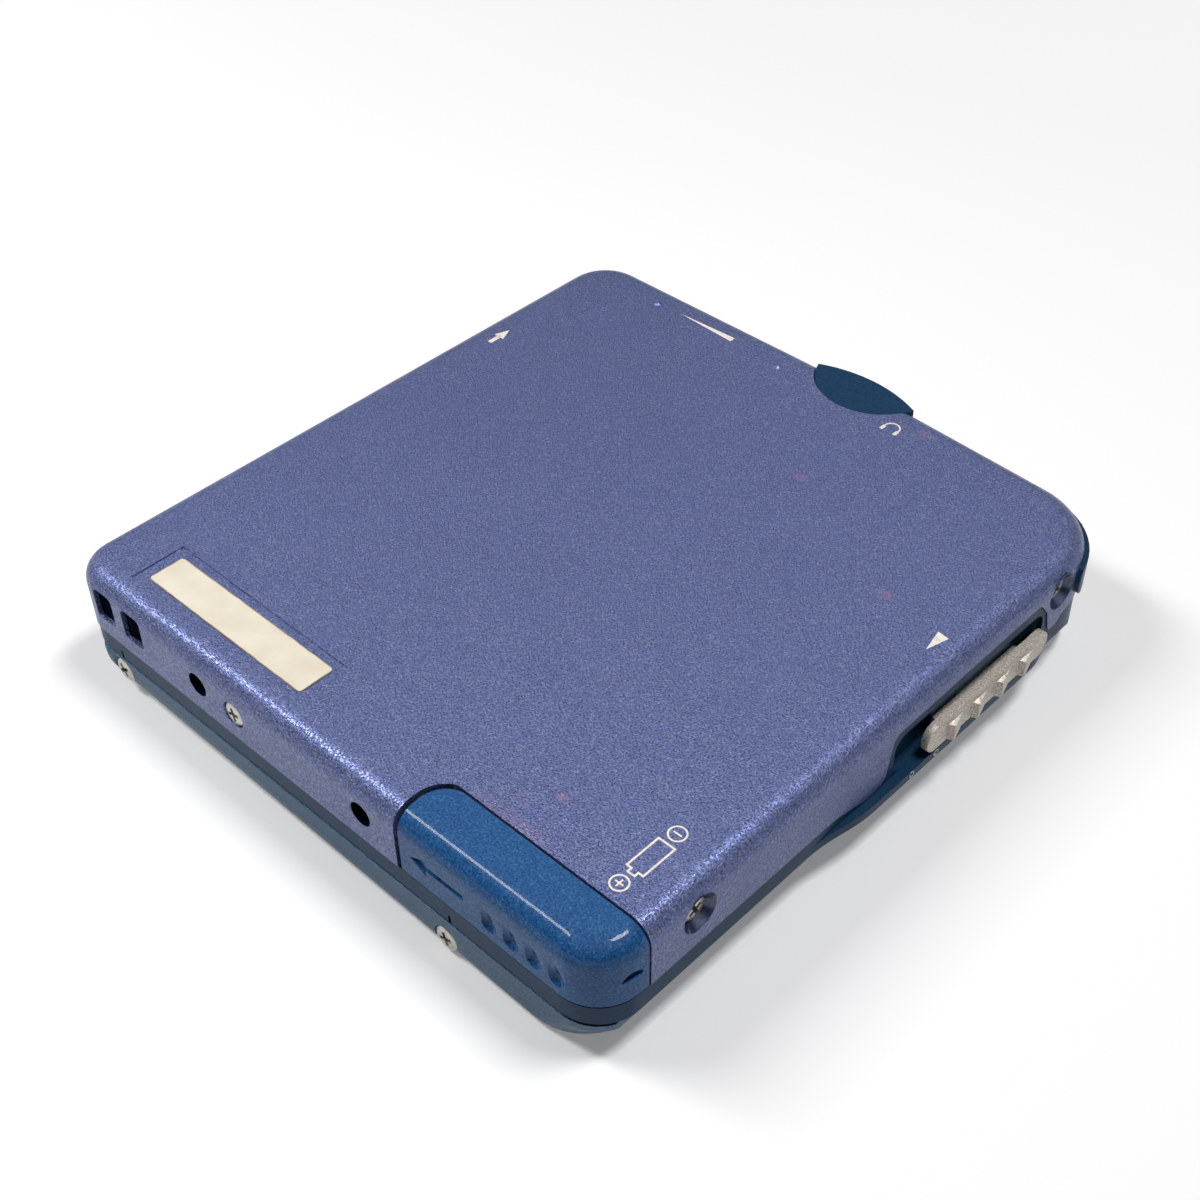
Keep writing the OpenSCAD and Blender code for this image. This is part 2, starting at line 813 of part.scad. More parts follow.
damper_y = hd - 5.2;
damper_at = [[-hw + 7.2, damper_y], [-hw + 7.2, -damper_y], [12.6, damper_y], [-12.6, -damper_y]];
module damper_ledges() {
    for (p = damper_at)
        difference() {
            translate([p[0] - 1.9, p[1] > 0 ? hd - 7 : -hd + frame_in, deck_top + 0.8])
                cube([3.8, 7 - frame_in, 0.8]);
            translate([p[0], p[1], 0])
                cylinder(r = shank_r + 0.05, h = body_h);
        }
}

module deck_dampers() {
    color("#2a2a2c")
        for (p = damper_at)
            translate([p[0], p[1], deck_top])
                difference() {
                    cylinder(r = 1.6, h = 0.8);
                    translate([0, 0, -1])
                        cylinder(r = shank_r + 0.05, h = 3);
                }
}

module deck_screws() {
    color("#c9c9c6")
        for (p = damper_at)
            translate([p[0], p[1], deck_top + 1.6])
                screw(1.3, 0.5, shank_r, 1.6 + deck_t - 0.05);
}

module shell_screws() {
    color("#c9c9c6") {
        face_front(front_screw[0], front_screw[1], -hd + 0.45)
            screw(head_r, 0.5, shank_r, 2.6);
        for (i = [0, 1])
            face_latch(side_screw_y[i], side_screw_z[i], hw - side_seat)
                screw(1.35, 0.5, shank_r, 3.35 - side_seat);
    }
}

// Steel deck that carries the mechanism
module deck_plate() {
    inset = frame_inner + 0.3;
    end_tab = -hd + 2.7;
    color("#aeb2b6")
        difference() {
            union() {
                translate([0, 0, deck_z])
                    linear_extrude(height = deck_t)
                        intersection() {
                            plan(inset);
                            translate([-hw + 4.5, -far])
                                square([body_w - 4.5 - 3.3, 2 * far]);
                        }
                for (x = [-rod_x, rod_x]) {
                    translate([x - 1.3, end_tab, deck_top - eps])
                        cube([2.6, 0.8, rod_z + 1.3 - deck_top]);
                    translate([x - 1.3, -motor_r - 1.2, deck_top - eps])
                        cube([2.6, 0.8, rod_z + 1.3 - deck_top]);
                }
                translate([screw_x - 1.2, end_tab, deck_top - eps])
                    cube([2.4, 0.8, rod_z + 1.2 - deck_top]);
            }
            cylinder(r = 3.2, h = body_h, $fn = 48);
            translate([-3.5, -lens_y - sled_travel - 3.2, 0])
                cube([7, sled_travel + 6.4, deck_top + 0.1]);
            for (x = [-rod_x, rod_x])
                translate([x, 0, rod_z])
                    rotate([90, 0, 0])
                        cylinder(r = rod_r + 0.02, h = far);
            translate([screw_x, 0, rod_z])
                rotate([90, 0, 0])
                    cylinder(r = 0.5 + run_gap, h = far);
            for (p = damper_at)
                translate([p[0], p[1], 0])
                    cylinder(r = shank_r + 0.02, h = body_h);
            door_sweep();
        }
}

module guide_rods() {
    color("#d6d8da")
        for (x = [-rod_x, rod_x])
            translate([x, -motor_r - 0.4, rod_z])
                rotate([90, 0, 0])
                    cylinder(r = rod_r, h = hd - 2.7 - motor_r - 0.4);
}

module spindle_motor() {
    color("#8f9296")
        difference() {
            union() {
                translate([0, 0, deck_top])
                    cylinder(r = motor_r, h = 0.5, $fn = 72);
                translate([0, 0, deck_top])
                    cylinder(r = motor_r - 1.4, h = 2.8, $fn = 72);
            }
            translate([0, 0, deck_top - 1])
                cylinder(r = 0.75 + run_gap, h = 3.2);
        }
}

// Turntable and shaft that carry the disc's hub
module turntable() {
    color("#c4c6c8")
        union() {
            translate([0, 0, lip_z - 0.9])
                cylinder(r1 = 3.4, r2 = 3.9, h = 0.5, $fn = 48);
            translate([0, 0, lip_z - 0.4])
                cylinder(r = 5, h = 0.6, $fn = 48);
            translate([0, 0, lip_z])
                cylinder(r = 0.75, h = deck_top + 2 - lip_z);
        }
}

module sled_motor() {
    color("#b0b3b6")
        difference() {
            translate([screw_x, 9, rod_z])
                rotate([90, 0, 0])
                    cylinder(r = 2.4, h = 12);
            translate([screw_x, 6.5, rod_z])
                rotate([90, 0, 0])
                    cylinder(r = 0.5 + run_gap, h = 12);
        }
}

module lead_screw() {
    color("#c9b98a")
        union() {
            translate([screw_x, -3.4, rod_z])
                rotate([90, 0, 0])
                    cylinder(r = 0.9, h = hd - 3.8 - 3.4);
            translate([screw_x, 6.3, rod_z])
                rotate([90, 0, 0])
                    cylinder(r = 0.5, h = hd - 2.8 + 6.3);
        }
}

// Optical pickup on its sled, at the start of the disc
module pickup_sled() {
    y0 = -lens_y - 5;
    color("#3c3f46")
        difference() {
            union() {
                translate([-6.9, y0, deck_top + 0.65])
                    cube([13.8, 10, 4]);
                translate([-rod_x, y0 + 10, rod_z])
                    rotate([90, 0, 0])
                        cylinder(r = 1.5, h = 10);
                translate([6.8, y0 + 2, rod_z - 1.4])
                    cube([2.4, 6, 2.8]);
                translate([6.8, y0 + 3, deck_top + 0.65])
                    cube([screw_x + 1.5 - 6.8, 4, rod_z - deck_top - 0.65]);
            }
            translate([-rod_x, 0, rod_z])
                rotate([90, 0, 0])
                    cylinder(r = rod_r + run_gap, h = far);
            translate([rod_x - rod_r - 0.4, -far, rod_z - rod_r - run_gap])
                cube([rod_r + 1.6, far, 2 * (rod_r + run_gap)]);
            translate([screw_x, 0, rod_z])
                rotate([90, 0, 0])
                    cylinder(r = 0.9 + run_gap, h = far);
            translate([rod_x + rod_r + 0.45, -far, rod_z - 0.2])
                cube([0.9, far, 2]);
        }
}

module objective_lens() {
    color("#7f93b8")
        translate([0, -lens_y, deck_z - 0.25])
            union() {
                cylinder(r = 1.9, h = deck_t + 0.9 - 0.2);
                translate([0, 0, 0.4])
                    cylinder(r = 2.9, h = deck_t + 0.5, $fn = 48);
            }
}

module battery_tray() {
    w = bay_w + 2 * tray_wall;
    color("#2c2e33")
        difference() {
            union() {
                translate([bay_x - tray_wall, bay_front, deck_top])
                    cube([w, bay_l + tray_wall, tray_top - deck_top]);
                for (z = [deck_top, ear_top - 1.1])
                    translate([0, 0, z])
                        linear_extrude(height = 1.1)
                            union() {
                                translate([door_pin_x, door_pin_y])
                                    circle(r = ear_r, $fn = 32);
                                translate([door_pin_x - 0.4, door_pin_y - 0.45])
                                    square([bay_x - door_pin_x + 0.2, 2]);
                            }
                for (i = [0, 1])
                    face_latch(side_screw_y[i], side_screw_z[i], hw - bay_inset + tray_wall - eps)
                        cylinder(r = 1.6, h = bay_inset - tray_wall - 1.95);
            }
            translate([bay_x, bay_front - 1, bay_z])
                cube([bay_w, bay_l + 1, far]);
            translate([door_pin_x, door_pin_y, 0])
                cylinder(r = hinge_pin_d / 2 + 0.02, h = far);
            for (i = [0, 1])
                face_latch(side_screw_y[i], side_screw_z[i], hw - bay_inset + 0.02)
                    cylinder(r = shank_r + 0.02, h = 5);
        }
}

// Sprung plate at the closed end of the battery bay
module battery_contact() {
    color("#cfc9b4")
        translate([bay_x + bay_w / 2, bay_front + bay_l, bay_z + 3])
            rotate([90, 0, 0])
                union() {
                    linear_extrude(height = 0.3)
                        round_rect(9, 4.6, 0.6);
                    cylinder(r1 = 1.9, r2 = 1.2, h = 1.3, $fn = 32);
                }
}

// Lens-shaped nick for a fingernail, at the latch end of the door
module door_nick() {
    translate([hw - corner_se, -hd + corner_se, 9.9])
        rotate([0, 0, -10])
            difference() {
                translate([corner_se + 1.5, 0, 0])
                    sphere(r = 2.1, $fn = 60);
                translate([0, -5, -5])
                    cube([10, 10, 5.4]);
            }
}

// Four thumb scoops in the door's front face, deep below and running out above
module door_grip() {
    for (i = [0:3])
        translate([hw - 13.4 + i * 2.75, -hd - 0.55, 9.7])
            rotate([16, -12, 0])
                union() {
                    sphere(r = 1.1, $fn = 40);
                    cylinder(r = 1.1, h = 5, $fn = 40);
                }
}

// Corner door over the end of the battery bay
module battery_door() {
    knuckle_z = deck_top + 1.4;
    knuckle_top = ear_top - 1.4;
    color("#2b5f97")
        difference() {
            union() {
                intersection() {
                    difference() {
                        base_form(0, door_bottom);
                        base_form(shell_wall, door_bottom - 1);
                    }
                    translate([0, 0, edge_h - 2])
                        linear_extrude(height = far)
                            door_plan(0, 0);
                }
                translate([door_pin_x, door_pin_y, knuckle_z])
                    cylinder(r = 0.95, h = knuckle_top - knuckle_z);
                translate([door_pin_x - 0.8, -hd + shell_wall - 0.2, knuckle_z])
                    cube([1.6, door_pin_in - shell_wall + 0.2, knuckle_top - knuckle_z]);
            }
            translate([door_pin_x, door_pin_y, 0])
                cylinder(r = hinge_pin_d / 2 + run_gap, h = tray_top + 0.1);
            door_nick();
            door_grip();
        }
}

module door_contact() {
    color("#cfc9b4")
        translate([bay_x + bay_w / 2 - 5, -hd + shell_wall, bay_z + 0.9])
            cube([10, 0.3, 4]);
}

module door_pin() {
    color("#cfcfcf")
        translate([door_pin_x, door_pin_y, deck_top])
            cylinder(d = hinge_pin_d, h = ear_top - deck_top);
}

// Metal knob of the lid latch: a plate with four raised saw teeth along its lower half,
// a neck in the channel and a stem through the frame to the steel plate
module slider_knob() {
    face = hw + 0.95;
    stem = channel_x - plate_x - sheet;
    color("#b5ab9d")
        union() {
            translate([face - slider_t, slider_y, knob_z])
                rotate([90, 0, 90])
                    linear_extrude(height = slider_t)
                        round_rect(slider_l, slider_h, 1.5);
            for (i = [0:3])
                translate([face - 0.2, slider_y - 6.6 + i * 4.05, knob_z - slider_h / 2 + 0.05])
                    linear_extrude(height = slider_h * 0.62)
                        polygon([[0, -0.4], [0.8, 0], [0.8, 0.25], [0, 2.8]]);
            translate([channel_x + 0.3, slider_y - 7, knob_z - 1])
                cube([face - channel_x - 0.5, 14, 1.2]);
            translate([plate_x + sheet, slider_y - 2.7, slider_z - 1])
                cube([stem + 0.1, 5.4, 2]);
            translate([plate_x + sheet, slider_y - 2.7, slider_z - 1])
                cube([stem + 0.6, 5.4, 0.7]);
        }
}

// Steel plate behind the slider with the hook that reaches into the lid
module latch_hook() {
    color("#b9bcc0")
        translate([plate_x, 0, 0])
            union() {
                translate([0, slider_y - 7, slider_z - 2.2])
                    cube([sheet, 13, 4.4]);
                translate([0, slider_y - 5.6, seam_h - 1.3])
                    cube([sheet, 3.2, slider_z - seam_h]);
                translate([0, slider_y - 2.5, seam_h - 1.3])
                    cube([sheet, 0.7, 0.5]);
            }
}

// Knob of the hold switch on the hinge side
module hold_knob() {
    color("#2f5f86")
        union() {
            translate([-hw - 0.45, hold_y - 2.4, key_z - 0.9])
                cube([2.8, 4.8, 1.8]);
            translate([-hw + frame_inner + 0.3, hold_y - 4.4, key_z - 1.4])
                cube([0.5, 8.8, 2.7]);
        }
}

// Push key: cap, and a flange behind the wall that keeps it in. y is the wall's outer face.
module push_key(x, y, l, stand) {
    translate([x, 0, key_z]) {
        slot_bar(l, key_h, y - frame_inner - 0.9, y + stand);
        slot_bar(l + 0.8, key_h + 1, y - frame_inner - 1.3, y - frame_inner - 0.5);
    }
}

module volume_down_key() {
    color("#2f5f86")
        push_key(vol_down_x, hd, vol_key_l, 0.4);
}

module volume_up_key() {
    color("#2f5f86")
        push_key(vol_up_x, hd, vol_key_l, 0.4);
}

module play_key() {
    color("#2f5f86")
        push_key(key_x, wall_y(key_x), key_l, 0.1);
}

module back_key() {
    color("#2f5f86")
        push_key(key_x + key_pitch, wall_y(key_x + key_pitch), key_l, 0.1);
}

module forward_key() {
    color("#2f5f86")
        push_key(key_x + 2 * key_pitch, wall_y(key_x + 2 * key_pitch), key_l, 0.1);
}

// Tact switches behind the keys
switch_back = frame_inner + 1.3 + 0.65;
module key_switches() {
    color("#d8d8d2")
        for (x = [vol_down_x, vol_up_x, key_x, key_x + key_pitch, key_x + 2 * key_pitch])
            translate([x - 1.6, wall_y(x) - switch_back - 1.6, key_z - 1.2])
                cube([3.2, 1.6, frame_top - key_z + 1.2]);
}

module terminal_contacts() {
    color("#c9a85a")
        for (x = window_x)
            translate([x - window_w / 2 - 0.1, -hd + frame_inner + 0.1, window_z - window_h / 2 - 0.1])
                cube([window_w + 0.4, 0.3, frame_top - window_z + window_h / 2 + 0.1]);
}

module circuit_board() {
    right = bay_x - tray_wall - 0.4;
    color("#2f6b4a")
        difference() {
            translate([0, 0, frame_top])
                linear_extrude(height = 0.6)
                    difference() {
                        plan(frame_in + 0.45);
                        translate([right, -far])
                            square([far, 2 * far]);
                        translate([jack_x, hd + 1.75])
                            circle(r = 7.4, $fn = 96);
                        translate([right - 3.6, -far])
                            square([far, far - hd + 7.4]);
                    }
            for (x = guide_hole_x)
                translate([x, -hd, frame_top - 1])
                    cylinder(r = 2, h = 3);
            door_sweep();
        }
}

module board_chips() {
    color("#222326")
        for (c = [[-24, 4, 12, 12, 1.3], [-22, 20, 8, 10, 1.1], [-27, -14, 9, 7, 1.1], [-15, -24, 5, 6, 1],
                  [-29, -26, 6, 5, 1.2]])
            translate([c[0] - c[2] / 2, c[1] - c[3] / 2, frame_top - c[4]])
                cube([c[2], c[3], c[4]]);
}

module headphone_jack() {
    y0 = hd - 1;
    color("#232428")
        difference() {
            union() {
                translate([jack_x - 3.7, y0 - jack_l + 0.8, jack_z - 2.5])
                    cube([7.4, jack_l - 2, 5]);
                face_keys(jack_x, jack_z, y0 - 1.8)
                    cylinder(r = jack_nose_r, h = jack_bulge + 2.6, $fn = 48);
            }
            face_keys(jack_x, jack_z, y0 - jack_l + 2)
                cylinder(d = jack_d, h = jack_l + 3, $fn = 48);
        }
}

lid_shell();
lid_brackets();
hinge_pins();
lid_screws();
latch_catch();
disc_holder();
holder_springs();
base_shell();
mid_frame();
shell_screws();
deck_plate();
deck_dampers();
deck_screws();
circuit_board();
board_chips();
headphone_jack();
key_switches();
terminal_contacts();
spindle_motor();
turntable();
sled_motor();
lead_screw();
guide_rods();
pickup_sled();
objective_lens();
battery_tray();
battery_contact();
battery_door();
door_contact();
door_pin();
slider_knob();
latch_hook();
hold_knob();
volume_down_key();
volume_up_key();
play_key();
back_key();
forward_key();
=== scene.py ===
import math

import bpy
from mathutils import Matrix, Vector


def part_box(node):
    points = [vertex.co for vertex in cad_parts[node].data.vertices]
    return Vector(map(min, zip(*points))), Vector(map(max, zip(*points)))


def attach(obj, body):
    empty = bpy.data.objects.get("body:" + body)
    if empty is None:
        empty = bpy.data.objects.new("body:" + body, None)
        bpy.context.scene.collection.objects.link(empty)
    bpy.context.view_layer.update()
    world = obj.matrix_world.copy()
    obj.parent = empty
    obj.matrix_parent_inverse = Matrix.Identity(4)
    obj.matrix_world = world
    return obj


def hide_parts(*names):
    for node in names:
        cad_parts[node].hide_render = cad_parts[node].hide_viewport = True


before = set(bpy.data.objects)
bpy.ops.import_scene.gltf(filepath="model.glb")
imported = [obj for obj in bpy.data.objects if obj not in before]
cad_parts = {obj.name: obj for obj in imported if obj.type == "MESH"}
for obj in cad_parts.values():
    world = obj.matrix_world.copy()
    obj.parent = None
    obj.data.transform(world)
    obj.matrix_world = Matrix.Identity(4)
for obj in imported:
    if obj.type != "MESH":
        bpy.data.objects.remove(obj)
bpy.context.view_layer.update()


# Studio
# The player lies on a white table in a pale room, seen from above the corner between the
# battery door and the latch. A long lamp on the left and a small one behind on the right
# draw the two bright lines along its front edges.
MM = 0.001
scene = bpy.context.scene
scene.view_settings.view_transform = "Standard"

camera_turn = math.radians(44.2485)
camera_rise = math.radians(42.2049)
camera_tilt = math.radians(-0.8237)
camera_place = (98.516 * MM, -101.567 * MM, 134.229 * MM)


def stand(name, data, right, up, back, place):
    """Sets up a camera or a lamp at a place in metres, looking against its back direction."""
    obj = bpy.data.objects.new(name, data)
    scene.collection.objects.link(obj)
    obj.matrix_world = Matrix((
        (right.x, up.x, back.x, place[0]), (right.y, up.y, back.y, place[1]),
        (right.z, up.z, back.z, place[2]), (0, 0, 0, 1)))
    return obj


toward = Vector((math.sin(camera_turn) * math.cos(camera_rise),
                 -math.cos(camera_turn) * math.cos(camera_rise), math.sin(camera_rise)))
level = Vector((math.cos(camera_turn), math.sin(camera_turn), 0))
upward = toward.cross(level)
lens = bpy.data.cameras.new("photo_camera")
lens.lens, lens.sensor_width = 53.54, 36
lens.clip_start, lens.clip_end = 0.01, 10
scene.camera = stand(
    "photo_camera", lens, level * math.cos(camera_tilt) + upward * math.sin(camera_tilt),
    upward * math.cos(camera_tilt) - level * math.sin(camera_tilt), toward, camera_place)


def lamp(name, place, size, watts):
    """A rectangular soft light that looks at the middle of the table."""
    data = bpy.data.lights.new(name, "AREA")
    data.shape, data.energy = "RECTANGLE", watts
    data.size, data.size_y = size
    back = Vector(place).normalized()
    side = (Vector((1, 0, 0)) - back * back.x).normalized()
    stand(name, data, side, back.cross(side), back, place)


lamp("left_lamp", place=(-0.187, -0.141, 0.298), size=(0.19, 0.06), watts=0.83)
lamp("rear_lamp", place=(0.155, 0.115, 0.540), size=(0.11, 0.18), watts=1.98)


def feed(tree, socket, value):
    """Gives a socket a plain value, or wires another node's output to it."""
    if isinstance(value, bpy.types.NodeSocket):
        tree.links.new(value, socket)
    else:
        socket.default_value = value


def set_inputs(tree, node, **inputs):
    """Feeds a node's inputs by name, with underscores for the spaces."""
    for label, value in inputs.items():
        feed(tree, node.inputs[label.replace("_", " ")], value)
    return node


def add_node(tree, kind, settings=None, **inputs):
    """A new shader node, first set up by its settings and then fed by the names of its inputs."""
    node = tree.nodes.new("ShaderNode" + kind)
    for key, value in (settings or {}).items():
        setattr(node, key, value)
    return set_inputs(tree, node, **inputs)


def maths(tree, operation, a, b):
    node = add_node(tree, "Math", {"operation": operation})
    feed(tree, node.inputs[0], a)
    feed(tree, node.inputs[1], b)
    return node.outputs["Value"]


def seen_by_eye(tree):
    """1 for camera, mirror and glass rays, so that metal shows the pale room too."""
    rays = add_node(tree, "LightPath").outputs
    direct = maths(tree, "MAXIMUM", rays["Is Camera Ray"], rays["Is Glossy Ray"])
    return maths(tree, "MAXIMUM", direct, rays["Is Transmission Ray"])


world = bpy.data.worlds.new("room")
scene.world = world
world.use_nodes = True
room = world.node_tree
outlook = add_node(room, "TexCoord").outputs["Generated"]
steepness = add_node(room, "SeparateXYZ", Vector=outlook).outputs["Z"]
walls = add_node(room, "MapRange", Value=steepness, From_Min=0.50, From_Max=0.80,
                 To_Min=0.12, To_Max=1.28)
shown = add_node(room, "MapRange", Value=seen_by_eye(room), To_Min=0.05, To_Max=walls.outputs["Result"])
straight = add_node(room, "LightPath").outputs["Is Camera Ray"]
set_inputs(room, room.nodes["Background"], Color=(1, 1, 1, 1),
           Strength=maths(room, "MAXIMUM", shown.outputs["Result"], straight))


def nothing_selected():
    bpy.ops.object.select_all(action="DESELECT")


def skin_of(material):
    """A material's node tree and its main shader."""
    material.use_nodes = True
    return material.node_tree, material.node_tree.nodes["Principled BSDF"]


nothing_selected()
bpy.ops.mesh.primitive_plane_add(size=6, location=(0, 0, -0.02 * MM))
table = bpy.context.object
table.name = "table_top"
white = bpy.data.materials.new("white_table")
tree, plain = skin_of(white)
set_inputs(tree, plain, Base_Color=(0.79, 0.79, 0.79, 1), Roughness=0.9, Specular_IOR_Level=0.1)
# The table's glow fades from full strength far out to 0.21 within 0.1 m of the middle: a painted shade round
# the player that keeps its shadow dark.
here = add_node(tree, "TexCoord").outputs["Object"]
away = add_node(tree, "VectorMath", {"operation": "LENGTH"}, Vector=here).outputs["Value"]
rising = add_node(tree, "MapRange", {"interpolation_type": "SMOOTHSTEP"}, Value=away,
                  From_Min=0.10, From_Max=0.60, To_Min=0.21, To_Max=1.0)
lit = maths(tree, "MULTIPLY", seen_by_eye(tree), rising.outputs["Result"])
glow = add_node(tree, "Emission", Strength=lit)
both = add_node(tree, "AddShader")
feed(tree, both.inputs[0], plain.outputs["BSDF"])
feed(tree, both.inputs[1], glow.outputs["Emission"])
set_inputs(tree, tree.nodes["Material Output"], Surface=both.outputs["Shader"])
table.data.materials.append(white)


# Base shell
# A pressed aluminium shell, painted metallic blue-violet over a fine flake.
# It sits over the moulded frame and is held by one screw at the front and two at the latch side.
# Handling has left a few pinkish rubs on the paint.
def pick(piece):
    nothing_selected()
    piece.select_set(True)
    bpy.context.view_layer.objects.active = piece


def use(piece, kind, **values):
    """Adds a modifier to the piece and applies it."""
    pick(piece)
    change = piece.modifiers.new(kind.lower(), kind)
    for key, value in values.items():
        setattr(change, key, value)
    bpy.ops.object.modifier_apply(modifier=change.name)


def merge_points(piece, apart, outward=True):
    """Joins points that lie together and, on a new piece, turns the faces outwards."""
    pick(piece)
    bpy.ops.object.mode_set(mode="EDIT")
    bpy.ops.mesh.select_all(action="SELECT")
    bpy.ops.mesh.remove_doubles(threshold=apart)
    if outward:
        bpy.ops.mesh.normals_make_consistent(inside=False)
    bpy.ops.object.mode_set(mode="OBJECT")


def clean_solid(node, name):
    """A copy of a node's own solid, its loose triangles joined into one mesh."""
    piece = bpy.data.objects.new(name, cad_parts[node].data.copy())
    scene.collection.objects.link(piece)
    merge_points(piece, 0.000002, outward=False)
    return piece


def break_edges(piece, width, angle=30):
    """Rounds the edges that turn by more than an angle, by a width in mm."""
    use(piece, "BEVEL", width=width * MM, segments=2, limit_method="ANGLE",
        angle_limit=math.radians(angle), use_clamp_overlap=True)


def smooth(piece, angle=35):
    pick(piece)
    bpy.ops.object.shade_smooth_by_angle(angle=math.radians(angle))
    use(piece, "WEIGHTED_NORMAL", keep_sharp=True, weight=60)


def paint_on(piece, material):
    piece.data.materials.clear()
    piece.data.materials.append(material)


def fix(piece, body, *replaced, slot=None):
    """Lets a piece ride on a body, in place of the nodes that it stands for."""
    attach(piece, body)
    if replaced:
        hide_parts(*replaced)


def new_group(name, inputs, outputs):
    """A shader group: its inputs with a usual value each, and its outputs with their kinds."""
    group = bpy.data.node_groups.new(name, "ShaderNodeTree")
    for label, value in inputs.items():
        kind = "NodeSocketFloat" if isinstance(value, float) else "NodeSocketColor"
        socket = group.interface.new_socket(name=label, in_out="INPUT", socket_type=kind)
        socket.default_value = value
    for label, kind in outputs.items():
        group.interface.new_socket(name=label, in_out="OUTPUT", socket_type=kind)
    return group, group.nodes.new("NodeGroupInput").outputs, group.nodes.new("NodeGroupOutput")


# Flake: the glint of fine metal flake, the pits between it and the orange peel of sprayed paint
flake, given, result = new_group(
    "metal_flake",
    {"Color": (0.09, 0.12, 0.30, 1), "Glint": (0.58, 0.58, 0.70, 1), "Grain": 5600.0, "Amount": 0.22,
     "Pits": 0.62, "Roughness": 0.345},
    {"Color": "NodeSocketColor", "Roughness": "NodeSocketFloat", "Height": "NodeSocketFloat"})
here = add_node(flake, "TexCoord").outputs["Object"]
flakes = add_node(flake, "TexVoronoi", Vector=here, Scale=given["Grain"])
shade = add_node(flake, "SeparateColor", Color=flakes.outputs["Color"]).outputs
haze = add_node(flake, "TexNoise", Vector=here, Scale=45, Detail=3).outputs["Fac"]
peel = add_node(flake, "TexNoise", Vector=here, Scale=3000, Detail=2).outputs["Fac"]
pits = add_node(flake, "TexNoise", Vector=here, Scale=5400, Detail=1).outputs["Fac"]
raised = add_node(flake, "MapRange", Value=pits, From_Min=0.36, From_Max=0.53).outputs["Result"]
sparkle = maths(flake, "MULTIPLY", maths(flake, "POWER", shade["Red"], 3.0), given["Amount"])
blend = add_node(flake, "Mix", {"data_type": "RGBA"}, Factor=sparkle, A=given["Color"], B=given["Glint"])
hollow = maths(flake, "MULTIPLY", maths(flake, "SUBTRACT", 1.0, raised), given["Pits"])
pitted = add_node(flake, "VectorMath", {"operation": "SCALE"}, Vector=blend.outputs["Result"],
                  Scale=maths(flake, "SUBTRACT", 1.08, hollow))
drift = maths(flake, "MULTIPLY", maths(flake, "SUBTRACT", haze, 0.5), 0.16)
facets = maths(flake, "MULTIPLY", shade["Green"], 0.4)
set_inputs(flake, result, Color=pitted.outputs["Vector"],
           Roughness=maths(flake, "ADD", given["Roughness"], drift),
           Height=maths(flake, "ADD", facets, maths(flake, "ADD", peel, raised)))


def flake_paint(name, color, glint, grain, amount, rough, height, pits=0.25, **sockets):
    """A paint or moulding with flake in it; grain is flakes per metre, and height the bump in mm."""
    material = bpy.data.materials.new(name)
    tree, skin = skin_of(material)
    look = add_node(tree, "Group", {"node_tree": flake}, Color=(*color, 1), Glint=(*glint, 1), Grain=grain,
                    Amount=amount, Pits=pits, Roughness=rough).outputs
    bump = add_node(tree, "Bump", Strength=1.0, Distance=height * MM, Height=look["Height"])
    set_inputs(tree, skin, Base_Color=look["Color"], Roughness=look["Roughness"],
               Normal=bump.outputs["Normal"], **sockets)
    return material


def lay_over(material, color, mask):
    """Lays a second colour over a material's own where the mask is 1."""
    tree, skin = skin_of(material)
    under = skin.inputs["Base Color"].links[0].from_socket
    mix = add_node(tree, "Mix", {"data_type": "RGBA"}, Factor=mask, A=under, B=(*color, 1))
    set_inputs(tree, skin, Base_Color=mix.outputs["Result"])


def rub(material, color, strength, spots):
    """Soft uneven marks, each (x, y, half length, half width) in mm as seen from above."""
    tree = skin_of(material)[0]
    here = add_node(tree, "TexCoord").outputs["Object"]
    axes = add_node(tree, "SeparateXYZ", Vector=here).outputs
    uneven = add_node(tree, "TexNoise", Vector=here, Scale=700, Detail=4).outputs["Fac"]
    marks = 0.0
    for x, y, half_length, half_width in spots:
        squares = []
        for axis, middle, half in (("X", x, half_length), ("Y", y, half_width)):
            offset = maths(tree, "SUBTRACT", axes[axis], middle * MM)
            share = maths(tree, "MULTIPLY", offset, 1 / (half * MM))
            squares.append(maths(tree, "MULTIPLY", share, share))
        fading = add_node(tree, "MapRange", {"interpolation_type": "SMOOTHSTEP"},
                          Value=maths(tree, "ADD", *squares), From_Min=1.0, From_Max=0.1)
        marks = maths(tree, "MAXIMUM", marks, fading.outputs["Result"])
    lay_over(material, color, maths(tree, "MULTIPLY", maths(tree, "MULTIPLY", marks, uneven), strength))


def reach(node):
    """The lowest and highest corners of a node, in mm."""
    return [[round(value / MM, 3) for value in corner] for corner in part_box(node)]


shell_low, shell_high = reach("base_shell")
front_y, side_x, top_z = shell_low[1], shell_high[0], shell_high[2]
rubs = ((27.0, 12.6, 1.1, 0.8), (22.4, -28.5, 0.9, 0.6), (19.4, -30.9, 0.5, 0.4), (14.4, 36.8, 1.4, 0.7),
        (9.0, 21.4, 1.0, 0.7))
streaks = ((20.5, -33.3, 6.5, 0.9), (-12.0, -35.0, 9.0, 1.2))
violet = flake_paint("violet_flake_paint", color=(0.090, 0.121, 0.302), glint=(0.58, 0.58, 0.70),
                     grain=5600, amount=0.22, rough=0.345, height=0.037, pits=0.62,
                     Metallic=0.6, Specular_IOR_Level=0.85)
rub(violet, color=(0.34, 0.17, 0.30), strength=0.75, spots=rubs)
rub(violet, color=(0.30, 0.17, 0.32), strength=0.35, spots=streaks)
shell = clean_solid("base_shell", "base_shell_skin")
break_edges(shell, 0.05, 40)
smooth(shell)
paint_on(shell, violet)
fix(shell, "player", "base_shell", slot="shell_paint")


